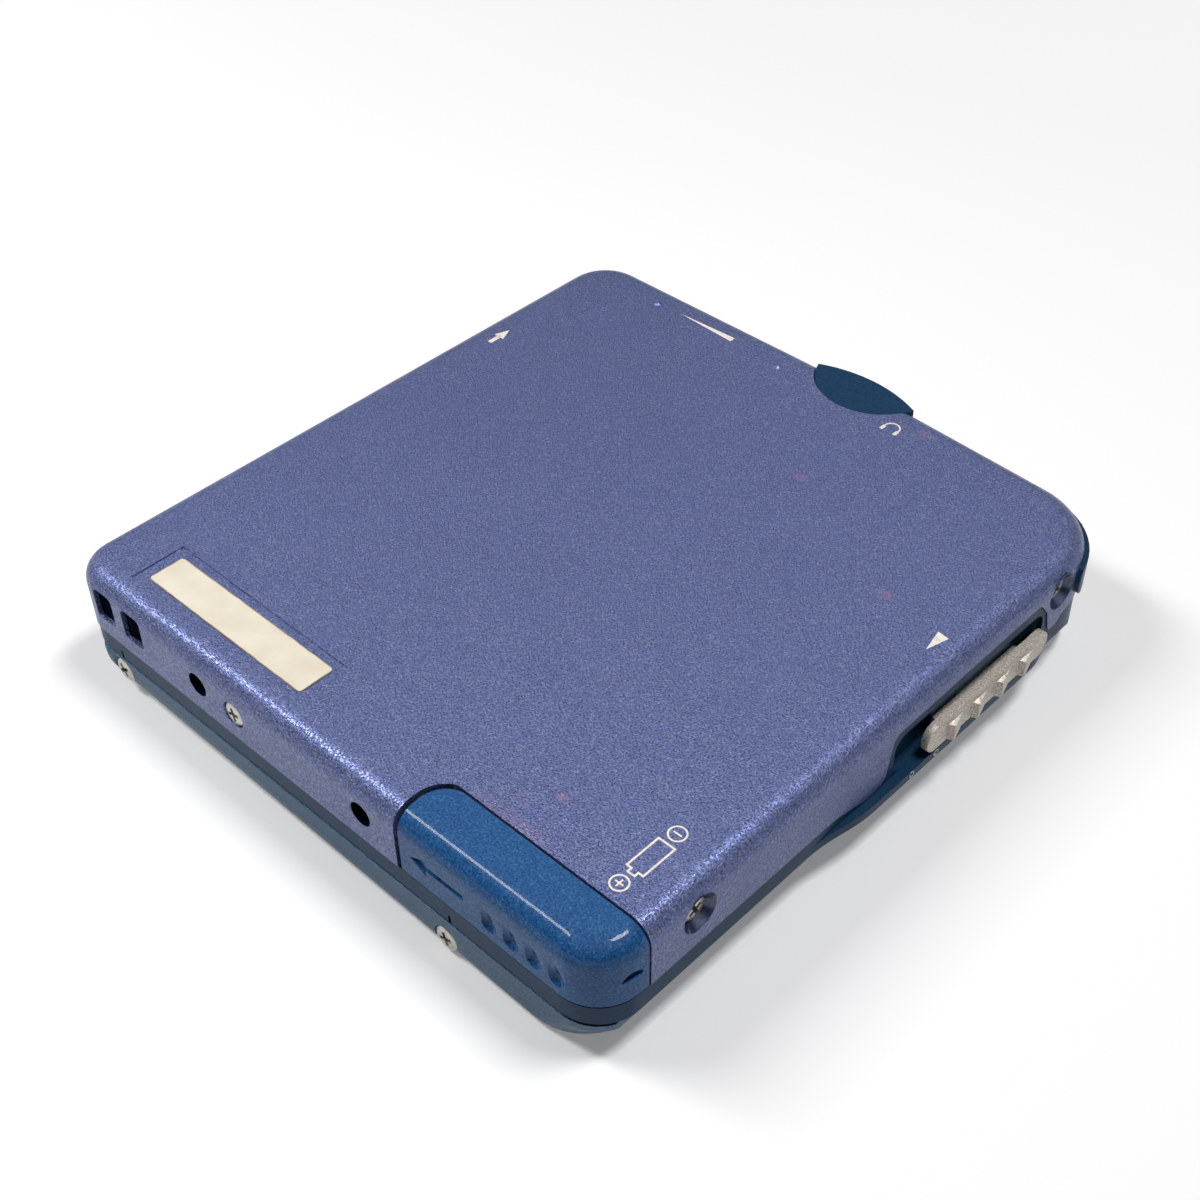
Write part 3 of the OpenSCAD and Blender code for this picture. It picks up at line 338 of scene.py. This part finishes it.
# Tactile dots
# Two small domes pressed up out of the shell beside the volume keys, to be found by touch.
# They carry the shell's own paint.
def turned(name, profile, steps=48):
    """A turned piece: the profile (radius, height) in mm, spun about the vertical axis."""
    data = bpy.data.meshes.new(name)
    edges = [(i, i + 1) for i in range(len(profile) - 1)]
    data.from_pydata([(radius * MM, 0, height * MM) for radius, height in profile], edges, [])
    piece = bpy.data.objects.new(name, data)
    scene.collection.objects.link(piece)
    use(piece, "SCREW", axis="Z", angle=math.tau, steps=steps, render_steps=steps,
        use_merge_vertices=True, merge_threshold=1e-7, use_normal_calculate=True)
    merge_points(piece, 1e-7)
    return piece


def facing(place, axis, roll=0):
    """Turns a piece from +Z to an axis, rolled by an angle, and moves it to a place in mm."""
    about, angle = {"-y": ("X", 90), "+y": ("X", -90), "+x": ("Y", 90), "+z": ("Z", 0)}[axis]
    turn = Matrix.Rotation(math.radians(angle), 4, about) @ Matrix.Rotation(math.radians(roll), 4, "Z")
    return Matrix.Translation(Vector(place) * MM) @ turn


def join_up(parts, name):
    nothing_selected()
    for part in parts:
        part.select_set(True)
    bpy.context.view_layer.objects.active = parts[0]
    bpy.ops.object.join()
    parts[0].name = parts[0].data.name = name
    return parts[0]


def set_out(name, master, places):
    """Copies of a master piece, one for each place, joined into one mesh."""
    copies = []
    for i, place in enumerate(places):
        part = bpy.data.objects.new(f"{name}_{i}", master.data.copy())
        scene.collection.objects.link(part)
        part.data.transform(place)
        copies.append(part)
    bpy.data.objects.remove(master)
    return join_up(copies, name)


dome = [(0, 0.24), (0.16, 0.22), (0.30, 0.15), (0.40, 0.06), (0.52, 0.004), (0.52, -0.2), (0, -0.2)]
dot_places = ((-25.2, 36.2, top_z), (-6.05, 35.8, top_z))
dots = set_out("tactile_dots", turned("dot", dome, 28), [facing(place, "+z") for place in dot_places])
smooth(dots)
paint_on(dots, violet)
fix(dots, "player", slot="shell_paint")


# Printed signs
# Fine pale pad printing on the base: a battery with its two poles, the latch's arrow, the lock's
# arrow, a volume wedge and a headphone sign.
ink_low, ink_high = top_z - 0.04, top_z + 0.014
battery_x, plus_y, minus_y = 32.6, -32.05, -24.65
pole_ring, pole_arm, pole_stroke = (0.95, 0.77), 0.94, 0.16
lock_x, lock_tail_y, lock_neck_y, lock_tip_y = -34.2, 17.4, 18.1, 19.9
headphone_x, headphone_y = 10.85, 35.2
ear_out, ear_y, ear_size = 0.88, 34.72, (0.42, 0.75)


def flat_shape(name, loops, low, high):
    """Closed outlines in mm, filled by the even-odd rule and given a thickness."""
    data = bpy.data.curves.new(name, "CURVE")
    data.dimensions, data.fill_mode = "2D", "BOTH"
    data.extrude = (high - low) / 2 * MM
    for loop in loops:
        spline = data.splines.new("POLY")
        spline.points.add(len(loop) - 1)
        for point, (x, y) in zip(spline.points, loop):
            point.co = (x * MM, y * MM, 0, 1)
        spline.use_cyclic_u = True
    piece = bpy.data.objects.new(name, data)
    scene.collection.objects.link(piece)
    pick(piece)
    bpy.ops.object.convert(target="MESH")
    piece = bpy.context.view_layer.objects.active
    piece.data.transform(Matrix.Translation((0, 0, (low + high) / 2 * MM)))
    merge_points(piece, 1e-8)
    return piece


def arc(x, y, radius, start, stop, steps):
    """Points on an arc in mm, from one angle in degrees to another."""
    angles = [math.radians(start + (stop - start) * i / steps) for i in range(steps + 1)]
    return [(x + radius * math.cos(angle), y + radius * math.sin(angle)) for angle in angles]


def bar(x, y, length, width):
    left, right, low, high = x - length / 2, x + length / 2, y - width / 2, y + width / 2
    return [(left, low), (right, low), (right, high), (left, high)]


def battery(inset):
    """The outline of a battery with its neck, drawn in from its outer edge."""
    left, right, end = 31.6 + inset, 33.7 - inset, -26.0 - inset
    neck_left, neck_right, shoulder, tip = 32.15 + inset, 33.15 - inset, -30.25 + inset, -30.75 + inset
    return [(left, end), (right, end), (right, shoulder), (neck_right, shoulder),
            (neck_right, tip), (neck_left, tip), (neck_left, shoulder), (left, shoulder)]


def plus(x, y, arm, half):
    """The outline of a plus sign with arms of a length and a half thickness."""
    steps = [(-arm, -half), (-half, -half), (-half, -arm), (half, -arm), (half, -half), (arm, -half)]
    return [(x + u, y + v) for u, v in steps] + [(x - u, y - v) for u, v in steps]


def ring(x, y):
    return [arc(x, y, radius, 0, 360, 40)[:-1] for radius in pole_ring]


latch_arrow = [(34.6, 8.9), (35.35, 11.6), (34.0, 11.75)]
lock_head = [(lock_x - 0.05, lock_tip_y), (lock_x - 0.75, lock_neck_y), (lock_x + 0.7, lock_neck_y)]
volume_wedge = [(-21.6, 36.45), (-13.4, 36.05), (-13.4, 36.85)]
head_band = (arc(headphone_x, headphone_y, 1.0, -10, 190, 20)
             + arc(headphone_x, headphone_y, 0.82, 190, -10, 20))
signs = [
    [battery(0), battery(0.2)], ring(battery_x, plus_y), ring(battery_x, minus_y),
    [plus(battery_x, plus_y, pole_arm / 2, pole_stroke / 2)],
    [bar(battery_x, minus_y, pole_arm, pole_stroke)],
    [latch_arrow], [bar(lock_x, lock_tail_y, 0.55, 1.7)], [lock_head], [volume_wedge], [head_band],
    [bar(headphone_x - ear_out, ear_y, *ear_size)], [bar(headphone_x + ear_out, ear_y, *ear_size)]]
prints = join_up([flat_shape(f"sign_{i}", loops, ink_low, ink_high) for i, loops in enumerate(signs)],
                 "printed_signs")


def mottled(name, light, dark, rough, scale, height, spread=0.15, stretch=(1, 1, 1), **sockets):
    """A colour that drifts between two tones in clouds, with a fine grain of a height in mm."""
    material = bpy.data.materials.new(name)
    tree, skin = skin_of(material)
    here = add_node(tree, "TexCoord").outputs["Object"]
    stretched = add_node(tree, "VectorMath", {"operation": "MULTIPLY"}, Vector=here)
    stretched.inputs[1].default_value = stretch
    drawn = stretched.outputs["Vector"]
    cloud = add_node(tree, "TexNoise", Vector=drawn, Scale=scale, Detail=6).outputs["Fac"]
    fine = add_node(tree, "TexNoise", Vector=drawn, Scale=scale * 5, Detail=4).outputs["Fac"]
    tones = add_node(tree, "ValToRGB", Fac=cloud)
    for stop, position, tone in zip(tones.color_ramp.elements, (0.5 - spread, 0.5 + spread), (dark, light)):
        stop.position, stop.color = position, (*tone, 1)
    bump = add_node(tree, "Bump", Strength=0.6, Distance=height * MM, Height=fine)
    sheen = add_node(tree, "MapRange", Value=cloud, To_Min=rough - 0.08, To_Max=rough + 0.1)
    set_inputs(tree, skin, Base_Color=tones.outputs["Color"], Roughness=sheen.outputs["Result"],
               Normal=bump.outputs["Normal"], **sockets)
    return material


paint_on(prints, mottled("print_ink", light=(0.90, 0.84, 0.74), dark=(0.72, 0.66, 0.62),
                         rough=0.55, scale=1800, height=0.003))
fix(prints, "player")


# Rating label
# A blank cream paper label, glued into a shallow recess of the base.
# Its edges are rubbed brown.
label_left, label_low, label_right, label_high = -29.1, -36.15, -5.0, -31.75
label_under, label_over = top_z - 0.16, top_z - 0.07
label_corner, label_break = 0.7, 0.02
rubbed_brown = (0.17, 0.12, 0.08)
rub_from, rub_to, rub_wander = 0.20 * MM, 0.04 * MM, 0.20 * MM


def rounded(left, low, right, high, radius, steps=6):
    """The outline of a rectangle with round corners, in mm."""
    return (arc(right - radius, high - radius, radius, 0, 90, steps)
            + arc(left + radius, high - radius, radius, 90, 180, steps)
            + arc(left + radius, low + radius, radius, 180, 270, steps)
            + arc(right - radius, low + radius, radius, 270, 360, steps))


label = flat_shape("rating_label", [rounded(label_left, label_low, label_right, label_high, label_corner)],
                   label_under, label_over)
break_edges(label, label_break, 40)
smooth(label)
cream = mottled("cream_paper", light=(0.78, 0.72, 0.60), dark=(0.70, 0.63, 0.51),
                rough=0.6, scale=320, height=0.004)
tree = skin_of(cream)[0]
here = add_node(tree, "TexCoord").outputs["Object"]
axes = add_node(tree, "SeparateXYZ", Vector=here).outputs
inward = maths(tree, "MINIMUM", maths(tree, "SUBTRACT", axes["X"], label_left * MM),
               maths(tree, "SUBTRACT", label_right * MM, axes["X"]))
for nearer in (maths(tree, "SUBTRACT", axes["Y"], label_low * MM),
               maths(tree, "SUBTRACT", label_high * MM, axes["Y"])):
    inward = maths(tree, "MINIMUM", inward, nearer)
ragged = add_node(tree, "TexNoise", Vector=here, Scale=900, Detail=5).outputs["Fac"]
wander = maths(tree, "MULTIPLY", maths(tree, "SUBTRACT", ragged, 0.5), rub_wander)
rim = add_node(tree, "MapRange", Value=maths(tree, "ADD", inward, wander), From_Min=rub_from, From_Max=rub_to)
lay_over(cream, rubbed_brown, rim.outputs["Result"])
paint_on(label, cream)
fix(label, "player")


# Moulded frame
# One dark blue moulding between the shell and the lid, with two pry notches in the band below the
# shell and two rimmed pin holes in the lip by the slider. It carries the slider's channel,
# the strip for the play keys and the lens round the socket.
lip_x = reach("mid_frame")[1][0]
notch_size, notch_places_x, notch_y, notch_z = (0.35, 0.5, 1.1), (-31.0, 19.1), front_y + 0.1, 5.5
pin_r, pin_length, pin_x, pin_z = 0.28, 1.6, lip_x - 0.3, 5.62
pin_places_y = (2.4, 6.4)


def block(size, place, roll=0):
    """A cutting block in mm, rolled about the vertical and set down at a place."""
    nothing_selected()
    bpy.ops.mesh.primitive_cube_add(size=1)
    tool = bpy.context.object
    tool.data.transform(Matrix.Diagonal((*[side * MM for side in size], 1)))
    tool.data.transform(facing(place, "+z", roll))
    return tool


def rod(radius, length, place):
    """A cutting rod in mm along the X axis."""
    nothing_selected()
    bpy.ops.mesh.primitive_cylinder_add(radius=radius * MM, depth=length * MM, vertices=32)
    tool = bpy.context.object
    tool.data.transform(facing(place, "+x"))
    return tool


def cut_away(piece, *tools):
    for tool in tools:
        use(piece, "BOOLEAN", operation="DIFFERENCE", object=tool, solver="EXACT")
        bpy.data.objects.remove(tool)


moulding = clean_solid("mid_frame", "frame_moulding")
cut_away(moulding, *[block(notch_size, (x, notch_y, notch_z)) for x in notch_places_x],
         *[rod(pin_r, pin_length, (pin_x, y, pin_z)) for y in pin_places_y])
use(moulding, "DECIMATE", decimate_type="DISSOLVE", angle_limit=math.radians(0.5))
smooth(moulding, 28)
paint_on(moulding, flake_paint("slate_moulding", color=(0.008, 0.036, 0.084), glint=(0.03, 0.08, 0.15),
                               grain=5200, amount=0.25, rough=0.36, height=0.004,
                               Specular_IOR_Level=0.1))
fix(moulding, "player", "mid_frame", slot="frame_plastic")

# A pale grey ring round each pin hole: a painted highlight on the holes' rims.
pin_rim = turned("pin_rim", [(0.27, -0.1), (0.27, 0.03), (0.40, 0.03), (0.43, -0.1), (0.27, -0.1)], 28)
pin_rims = set_out("lip_pin_rims", pin_rim, [facing((lip_x, y, pin_z), "+x") for y in pin_places_y])
smooth(pin_rims)
paint_on(pin_rims, mottled("rim_highlight", light=(0.45, 0.46, 0.47), dark=(0.25, 0.28, 0.32),
                          rough=0.5, scale=2500, height=0.003, Metallic=0.3))
fix(pin_rims, "player")


# Dark windows and bores
# Two near-black panes fill the windows of the front face, a little behind the shell, and the two guide holes
# are lined in black: both are painted shade for the dark insides.
pane_half, pane_low, pane_high, pane_corner = 1.56, 9.54, 13.26, 0.5
pane_face, pane_back = 0.5, 0.7
bore_inner, bore_outer, bore_mouth, bore_floor, bore_end = 1.30, 1.345, -0.05, -2.25, -2.3
bore_places_x, bore_z = (-16.6, 7.8), 11
# Near-black with no specular: painted shade for the insides of the windows and the holes.
shade_black = mottled("painted_shade_black", light=(0.003, 0.006, 0.016), dark=(0.0015, 0.003, 0.009),
                rough=0.7, scale=900, height=0.002, Specular_IOR_Level=0.0)
for name, x in (("left_window_shade", -32.2), ("right_window_shade", -27.4)):
    outline = rounded(x - pane_half, pane_low, x + pane_half, pane_high, pane_corner)
    pane = flat_shape(name, [outline], -pane_back, -pane_face)
    pane.data.transform(facing((0, front_y, 0), "-y"))
    paint_on(pane, shade_black)
    fix(pane, "player", slot="black_plastic")
bore_shade = turned("bore_shade", [
    (bore_inner, bore_mouth), (bore_outer, bore_mouth), (bore_outer, bore_end), (0, bore_end),
    (0, bore_floor), (bore_inner, bore_floor), (bore_inner, bore_mouth)], 40)
bores = set_out("guide_bore_shades", bore_shade, [facing((x, front_y, bore_z), "-y") for x in bore_places_x])
smooth(bores)
paint_on(bores, shade_black)
fix(bores, "player", slot="black_plastic")


# Lid
# A pressed aluminium lid, painted in the same way in a greyer blue.
# Its hinge knuckles stand at the rear edge, and four screws at the sides hold its brackets.
lid = clean_solid("lid_shell", "lid_skin")
smooth(lid)
paint_on(lid, flake_paint("lid_paint", color=(0.042, 0.098, 0.170), glint=(0.16, 0.24, 0.34),
                          grain=5600, amount=0.3, rough=0.40, height=0.012, pits=0.45,
                          Metallic=0.45, Specular_IOR_Level=0.3))
fix(lid, "lid", "lid_shell", slot="lid_paint")


# Battery door
# A glossy dark blue moulding round the front corner, with four thumb scoops, a nail nick
# and a plain arrow sunk in its front face. It swings on a steel pin at its inner end.
arrow_tip, arrow_neck, arrow_tail, arrow_z = 14.5, 16.6, 21.4, 10.6
half_shaft, half_head = 0.3, 1.1
arrow_sunk, arrow_clear = 0.3, 0.18
deep_blue = flake_paint("door_gloss", color=(0.014, 0.078, 0.238), glint=(0.05, 0.21, 0.44),
                        grain=6000, amount=0.5, rough=0.30, height=0.006, pits=0.5,
                        Specular_IOR_Level=0.04, Coat_Weight=0.28, Coat_Roughness=0.07)
door = clean_solid("battery_door", "battery_door_skin")
arrow = flat_shape("arrow", [[
    (arrow_tail, arrow_z - half_shaft), (arrow_tail, arrow_z + half_shaft),
    (arrow_neck, arrow_z + half_shaft), (arrow_neck, arrow_z + half_head), (arrow_tip, arrow_z),
    (arrow_neck, arrow_z - half_head), (arrow_neck, arrow_z - half_shaft)]], -arrow_sunk, arrow_clear)
arrow.data.transform(facing((0, front_y, 0), "-y"))
cut_away(door, arrow)
break_edges(door, 0.05, 38)
smooth(door)
paint_on(door, deep_blue)
fix(door, "door", "battery_door", slot="door_plastic")


# Latch slider
# A small cast and blasted metal knob with four saw teeth for the thumb, its edges rounded by use.
# Behind it a dark tongue of its carrier travels along and keeps the slot of the channel closed; it is painted
# in the door's lighter blue, not the frame's slate, as painted light against the shade of the channel.
knob_low, knob_high = reach("slider_knob")
tongue_back, tongue_face = knob_low[0] + 1.34, knob_low[0] + 1.52
tongue_near, tongue_far = knob_low[1] + 3.1, knob_high[1] - 2.9
tongue_low, tongue_high, tongue_corner = knob_low[2] + 0.6, knob_high[2] + 0.45, 0.4
knob = clean_solid("slider_knob", "slider_cap")
break_edges(knob, 0.14)
smooth(knob)
paint_on(knob, mottled("blasted_metal", light=(0.74, 0.68, 0.60), dark=(0.32, 0.285, 0.25),
                       rough=0.42, scale=6000, height=0.016, spread=0.14, Metallic=0.25))
fix(knob, "slider", "slider_knob", slot="slider_metal")

tongue = flat_shape("slider_tongue",
                    [rounded(tongue_near, tongue_low, tongue_far, tongue_high, tongue_corner)],
                    tongue_back, tongue_face)
upright_along_y = Matrix(((0, 0, 1, 0), (1, 0, 0, 0), (0, 1, 0, 0), (0, 0, 0, 1)))
tongue.data.transform(upright_along_y)
# The door's lighter blue stands in for the frame's slate here: painted light, so the tongue does not go black
# in the channel's shade.
paint_on(tongue, deep_blue)
fix(tongue, "slider", slot="frame_plastic")


# Side keys and hold knob
# Small glossy blue push keys, each moulded with a broken edge and guided in its slot,
# and a sliding knob for the hold switch.
key_blue = flake_paint("key_gloss", color=(0.008, 0.066, 0.200), glint=(0.03, 0.18, 0.40),
                       grain=5200, amount=0.4, rough=0.3, height=0.003,
                       Specular_IOR_Level=0.2, Coat_Weight=0.3, Coat_Roughness=0.08)
for node in ("hold_knob", "volume_down_key", "volume_up_key", "play_key", "back_key", "forward_key"):
    body = node.rsplit("_", 1)[0]
    cap = clean_solid(node, node + "_cap")
    break_edges(cap, 0.12)
    smooth(cap)
    paint_on(cap, key_blue)
    fix(cap, body, node, slot="key_plastic")


# Screws
# Nickel-plated cross-recess screws: four hold the lid, three the shell, four small ones the deck.
# The crosses are painted near-black as painted shade, and the two at the latch side lie in conical recesses
# whose lining is painted darker than the shell as painted shade.
head_h, deck_head_h, screw_shank_r = 0.45, 0.5, 0.7
front_seat, side_seat = front_y + head_h, side_x - 1.1
side_recesses = ((side_seat, -27.6, 11.4), (side_seat, 28.3, 11.8))
deck_seats, deck_z = ((-30.8, 34.9), (-30.8, -34.9), (12.6, 34.9), (-12.6, -34.9)), 9.25
nickel = mottled("plated_screw", light=(0.66, 0.63, 0.58), dark=(0.46, 0.43, 0.39),
                 rough=0.34, scale=1600, height=0.006, Metallic=0.75)
cross_shade = mottled("cross_recess_shade", light=(0.022, 0.020, 0.018), dark=(0.010, 0.009, 0.008),
                rough=0.7, scale=2600, height=0.004)


def cross_screw(head_r, head_h, shank_r, length):
    """A screw with a domed head on the ground plane, its shank below and a cross cut from above."""
    piece = turned("screw", [
        (0, head_h), (head_r * 0.55, head_h * 0.97), (head_r * 0.85, head_h * 0.80),
        (head_r * 0.97, head_h * 0.52), (head_r, head_h * 0.25), (head_r * 0.98, 0),
        (shank_r, 0), (shank_r, -length * 0.85), (shank_r * 0.4, -length), (0, -length)], 40)
    blade = (head_r * 1.15, head_r * 0.30, head_h + 0.35)
    for roll in (0, 90):
        cut_away(piece, block(blade, (0, 0, head_h), roll))
    smooth(piece)
    # Faces inside the cross take the near-black painted shade.
    for finish in (nickel, cross_shade):
        piece.data.materials.append(finish)
    for face in piece.data.polygons:
        in_cross = math.hypot(face.center.x, face.center.y) < head_r * 0.60 * MM
        if in_cross and 0 < face.center.z < head_h * 0.7 * MM:
            face.material_index = 1
    return piece


lid_screw = cross_screw(1.45, head_h, screw_shank_r, length=1.75)
lid_screw_set = set_out("lid_screw_set", lid_screw, [
    facing((-31.4, front_seat, 3.1), "-y", 35), facing((18.3, front_seat, 2.0), "-y", 20),
    facing((-31.4, -front_seat, 3.1), "+y", 10), facing((18.3, -front_seat, 2.0), "+y", 60)])
fix(lid_screw_set, "lid", "lid_screws", slot="screw_nickel")

shell_screw = cross_screw(1.40, head_h, screw_shank_r, length=1.9)
shell_screw_set = set_out("shell_screw_set", shell_screw, [
    facing((-11.0, front_seat, 10.7), "-y", 15),
    facing(side_recesses[0], "+x", 25), facing(side_recesses[1], "+x", 50)])
fix(shell_screw_set, "player", "shell_screws", slot="screw_nickel")

deck_screw = cross_screw(1.3, deck_head_h, screw_shank_r, length=1.9)
deck_screw_set = set_out("deck_screw_set", deck_screw, [
    facing((x, y, deck_z), "+z", 30 + 17 * i) for i, (x, y) in enumerate(deck_seats)])
fix(deck_screw_set, "player", "deck_screws", slot="screw_nickel")

# The cups line the two side recesses in a dark glossy blue, much darker than the shell's own paint: painted
# shade in the recesses.
cone = [(1.38, 0.01), (1.45, 0.01), (2.095, 1.07), (2.125, 1.07), (1.495, -0.04), (1.38, -0.04), (1.38, 0.01)]
cups = set_out("screw_cups", turned("cup", cone), [facing(place, "+x") for place in side_recesses])
smooth(cups)
paint_on(cups, flake_paint("recess_painted_shade", color=(0.020, 0.034, 0.095), glint=(0.10, 0.13, 0.26),
                           grain=5200, amount=0.3, rough=0.2, height=0.004,
                           Metallic=0.3, Coat_Weight=0.4, Coat_Roughness=0.06))
fix(cups, "player", slot="shell_paint")


# Mechanism and inner pieces
# Steel pressings, black and pale mouldings, gilt contacts and the green board, each with its own
# finish. They are screwed, riveted or clipped to the frame, the deck and the lid.
drawn_steel = mottled("sheet_steel", light=(0.62, 0.63, 0.64), dark=(0.50, 0.51, 0.52), rough=0.36,
                      scale=3000, height=0.003, spread=0.3, stretch=(0.05, 1, 1), Metallic=0.9)
gilt = mottled("gilt_contact", light=(0.80, 0.62, 0.30), dark=(0.68, 0.50, 0.22), rough=0.25,
               scale=500, height=0.003, Metallic=0.95)
black = mottled("black_moulding", light=(0.022, 0.022, 0.024), dark=(0.014, 0.014, 0.016), rough=0.5,
                scale=600, height=0.006)
rubber = mottled("black_rubber", light=(0.026, 0.026, 0.026), dark=(0.016, 0.016, 0.016), rough=0.75,
                 scale=400, height=0.01)
pale = mottled("pale_moulding", light=(0.62, 0.62, 0.58), dark=(0.54, 0.54, 0.50), rough=0.45,
               scale=500, height=0.004)
green = mottled("solder_mask", light=(0.016, 0.12, 0.055), dark=(0.010, 0.085, 0.04), rough=0.3,
                scale=150, height=0.004)
brass = mottled("screw_brass", light=(0.66, 0.50, 0.26), dark=(0.55, 0.41, 0.2), rough=0.3,
                scale=500, height=0.004, Metallic=0.95)
glassy = mottled("lens_glass", light=(0.35, 0.45, 0.75), dark=(0.25, 0.33, 0.62), rough=0.12,
                 scale=900, height=0.001, Coat_Weight=1.0)
for finish, nodes in (
        (drawn_steel, ("lid_brackets", "hinge_pins", "latch_catch", "disc_holder", "holder_springs",
                       "deck_plate", "spindle_motor", "turntable", "sled_motor", "guide_rods",
                       "door_pin", "latch_hook")),
        (gilt, ("terminal_contacts", "battery_contact", "door_contact")),
        (black, ("board_chips", "headphone_jack", "pickup_sled", "battery_tray")),
        (rubber, ("deck_dampers",)), (pale, ("key_switches",)), (green, ("circuit_board",)),
        (brass, ("lead_screw",)), (glassy, ("objective_lens",))):
    for node in nodes:
        paint_on(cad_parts[node], finish)
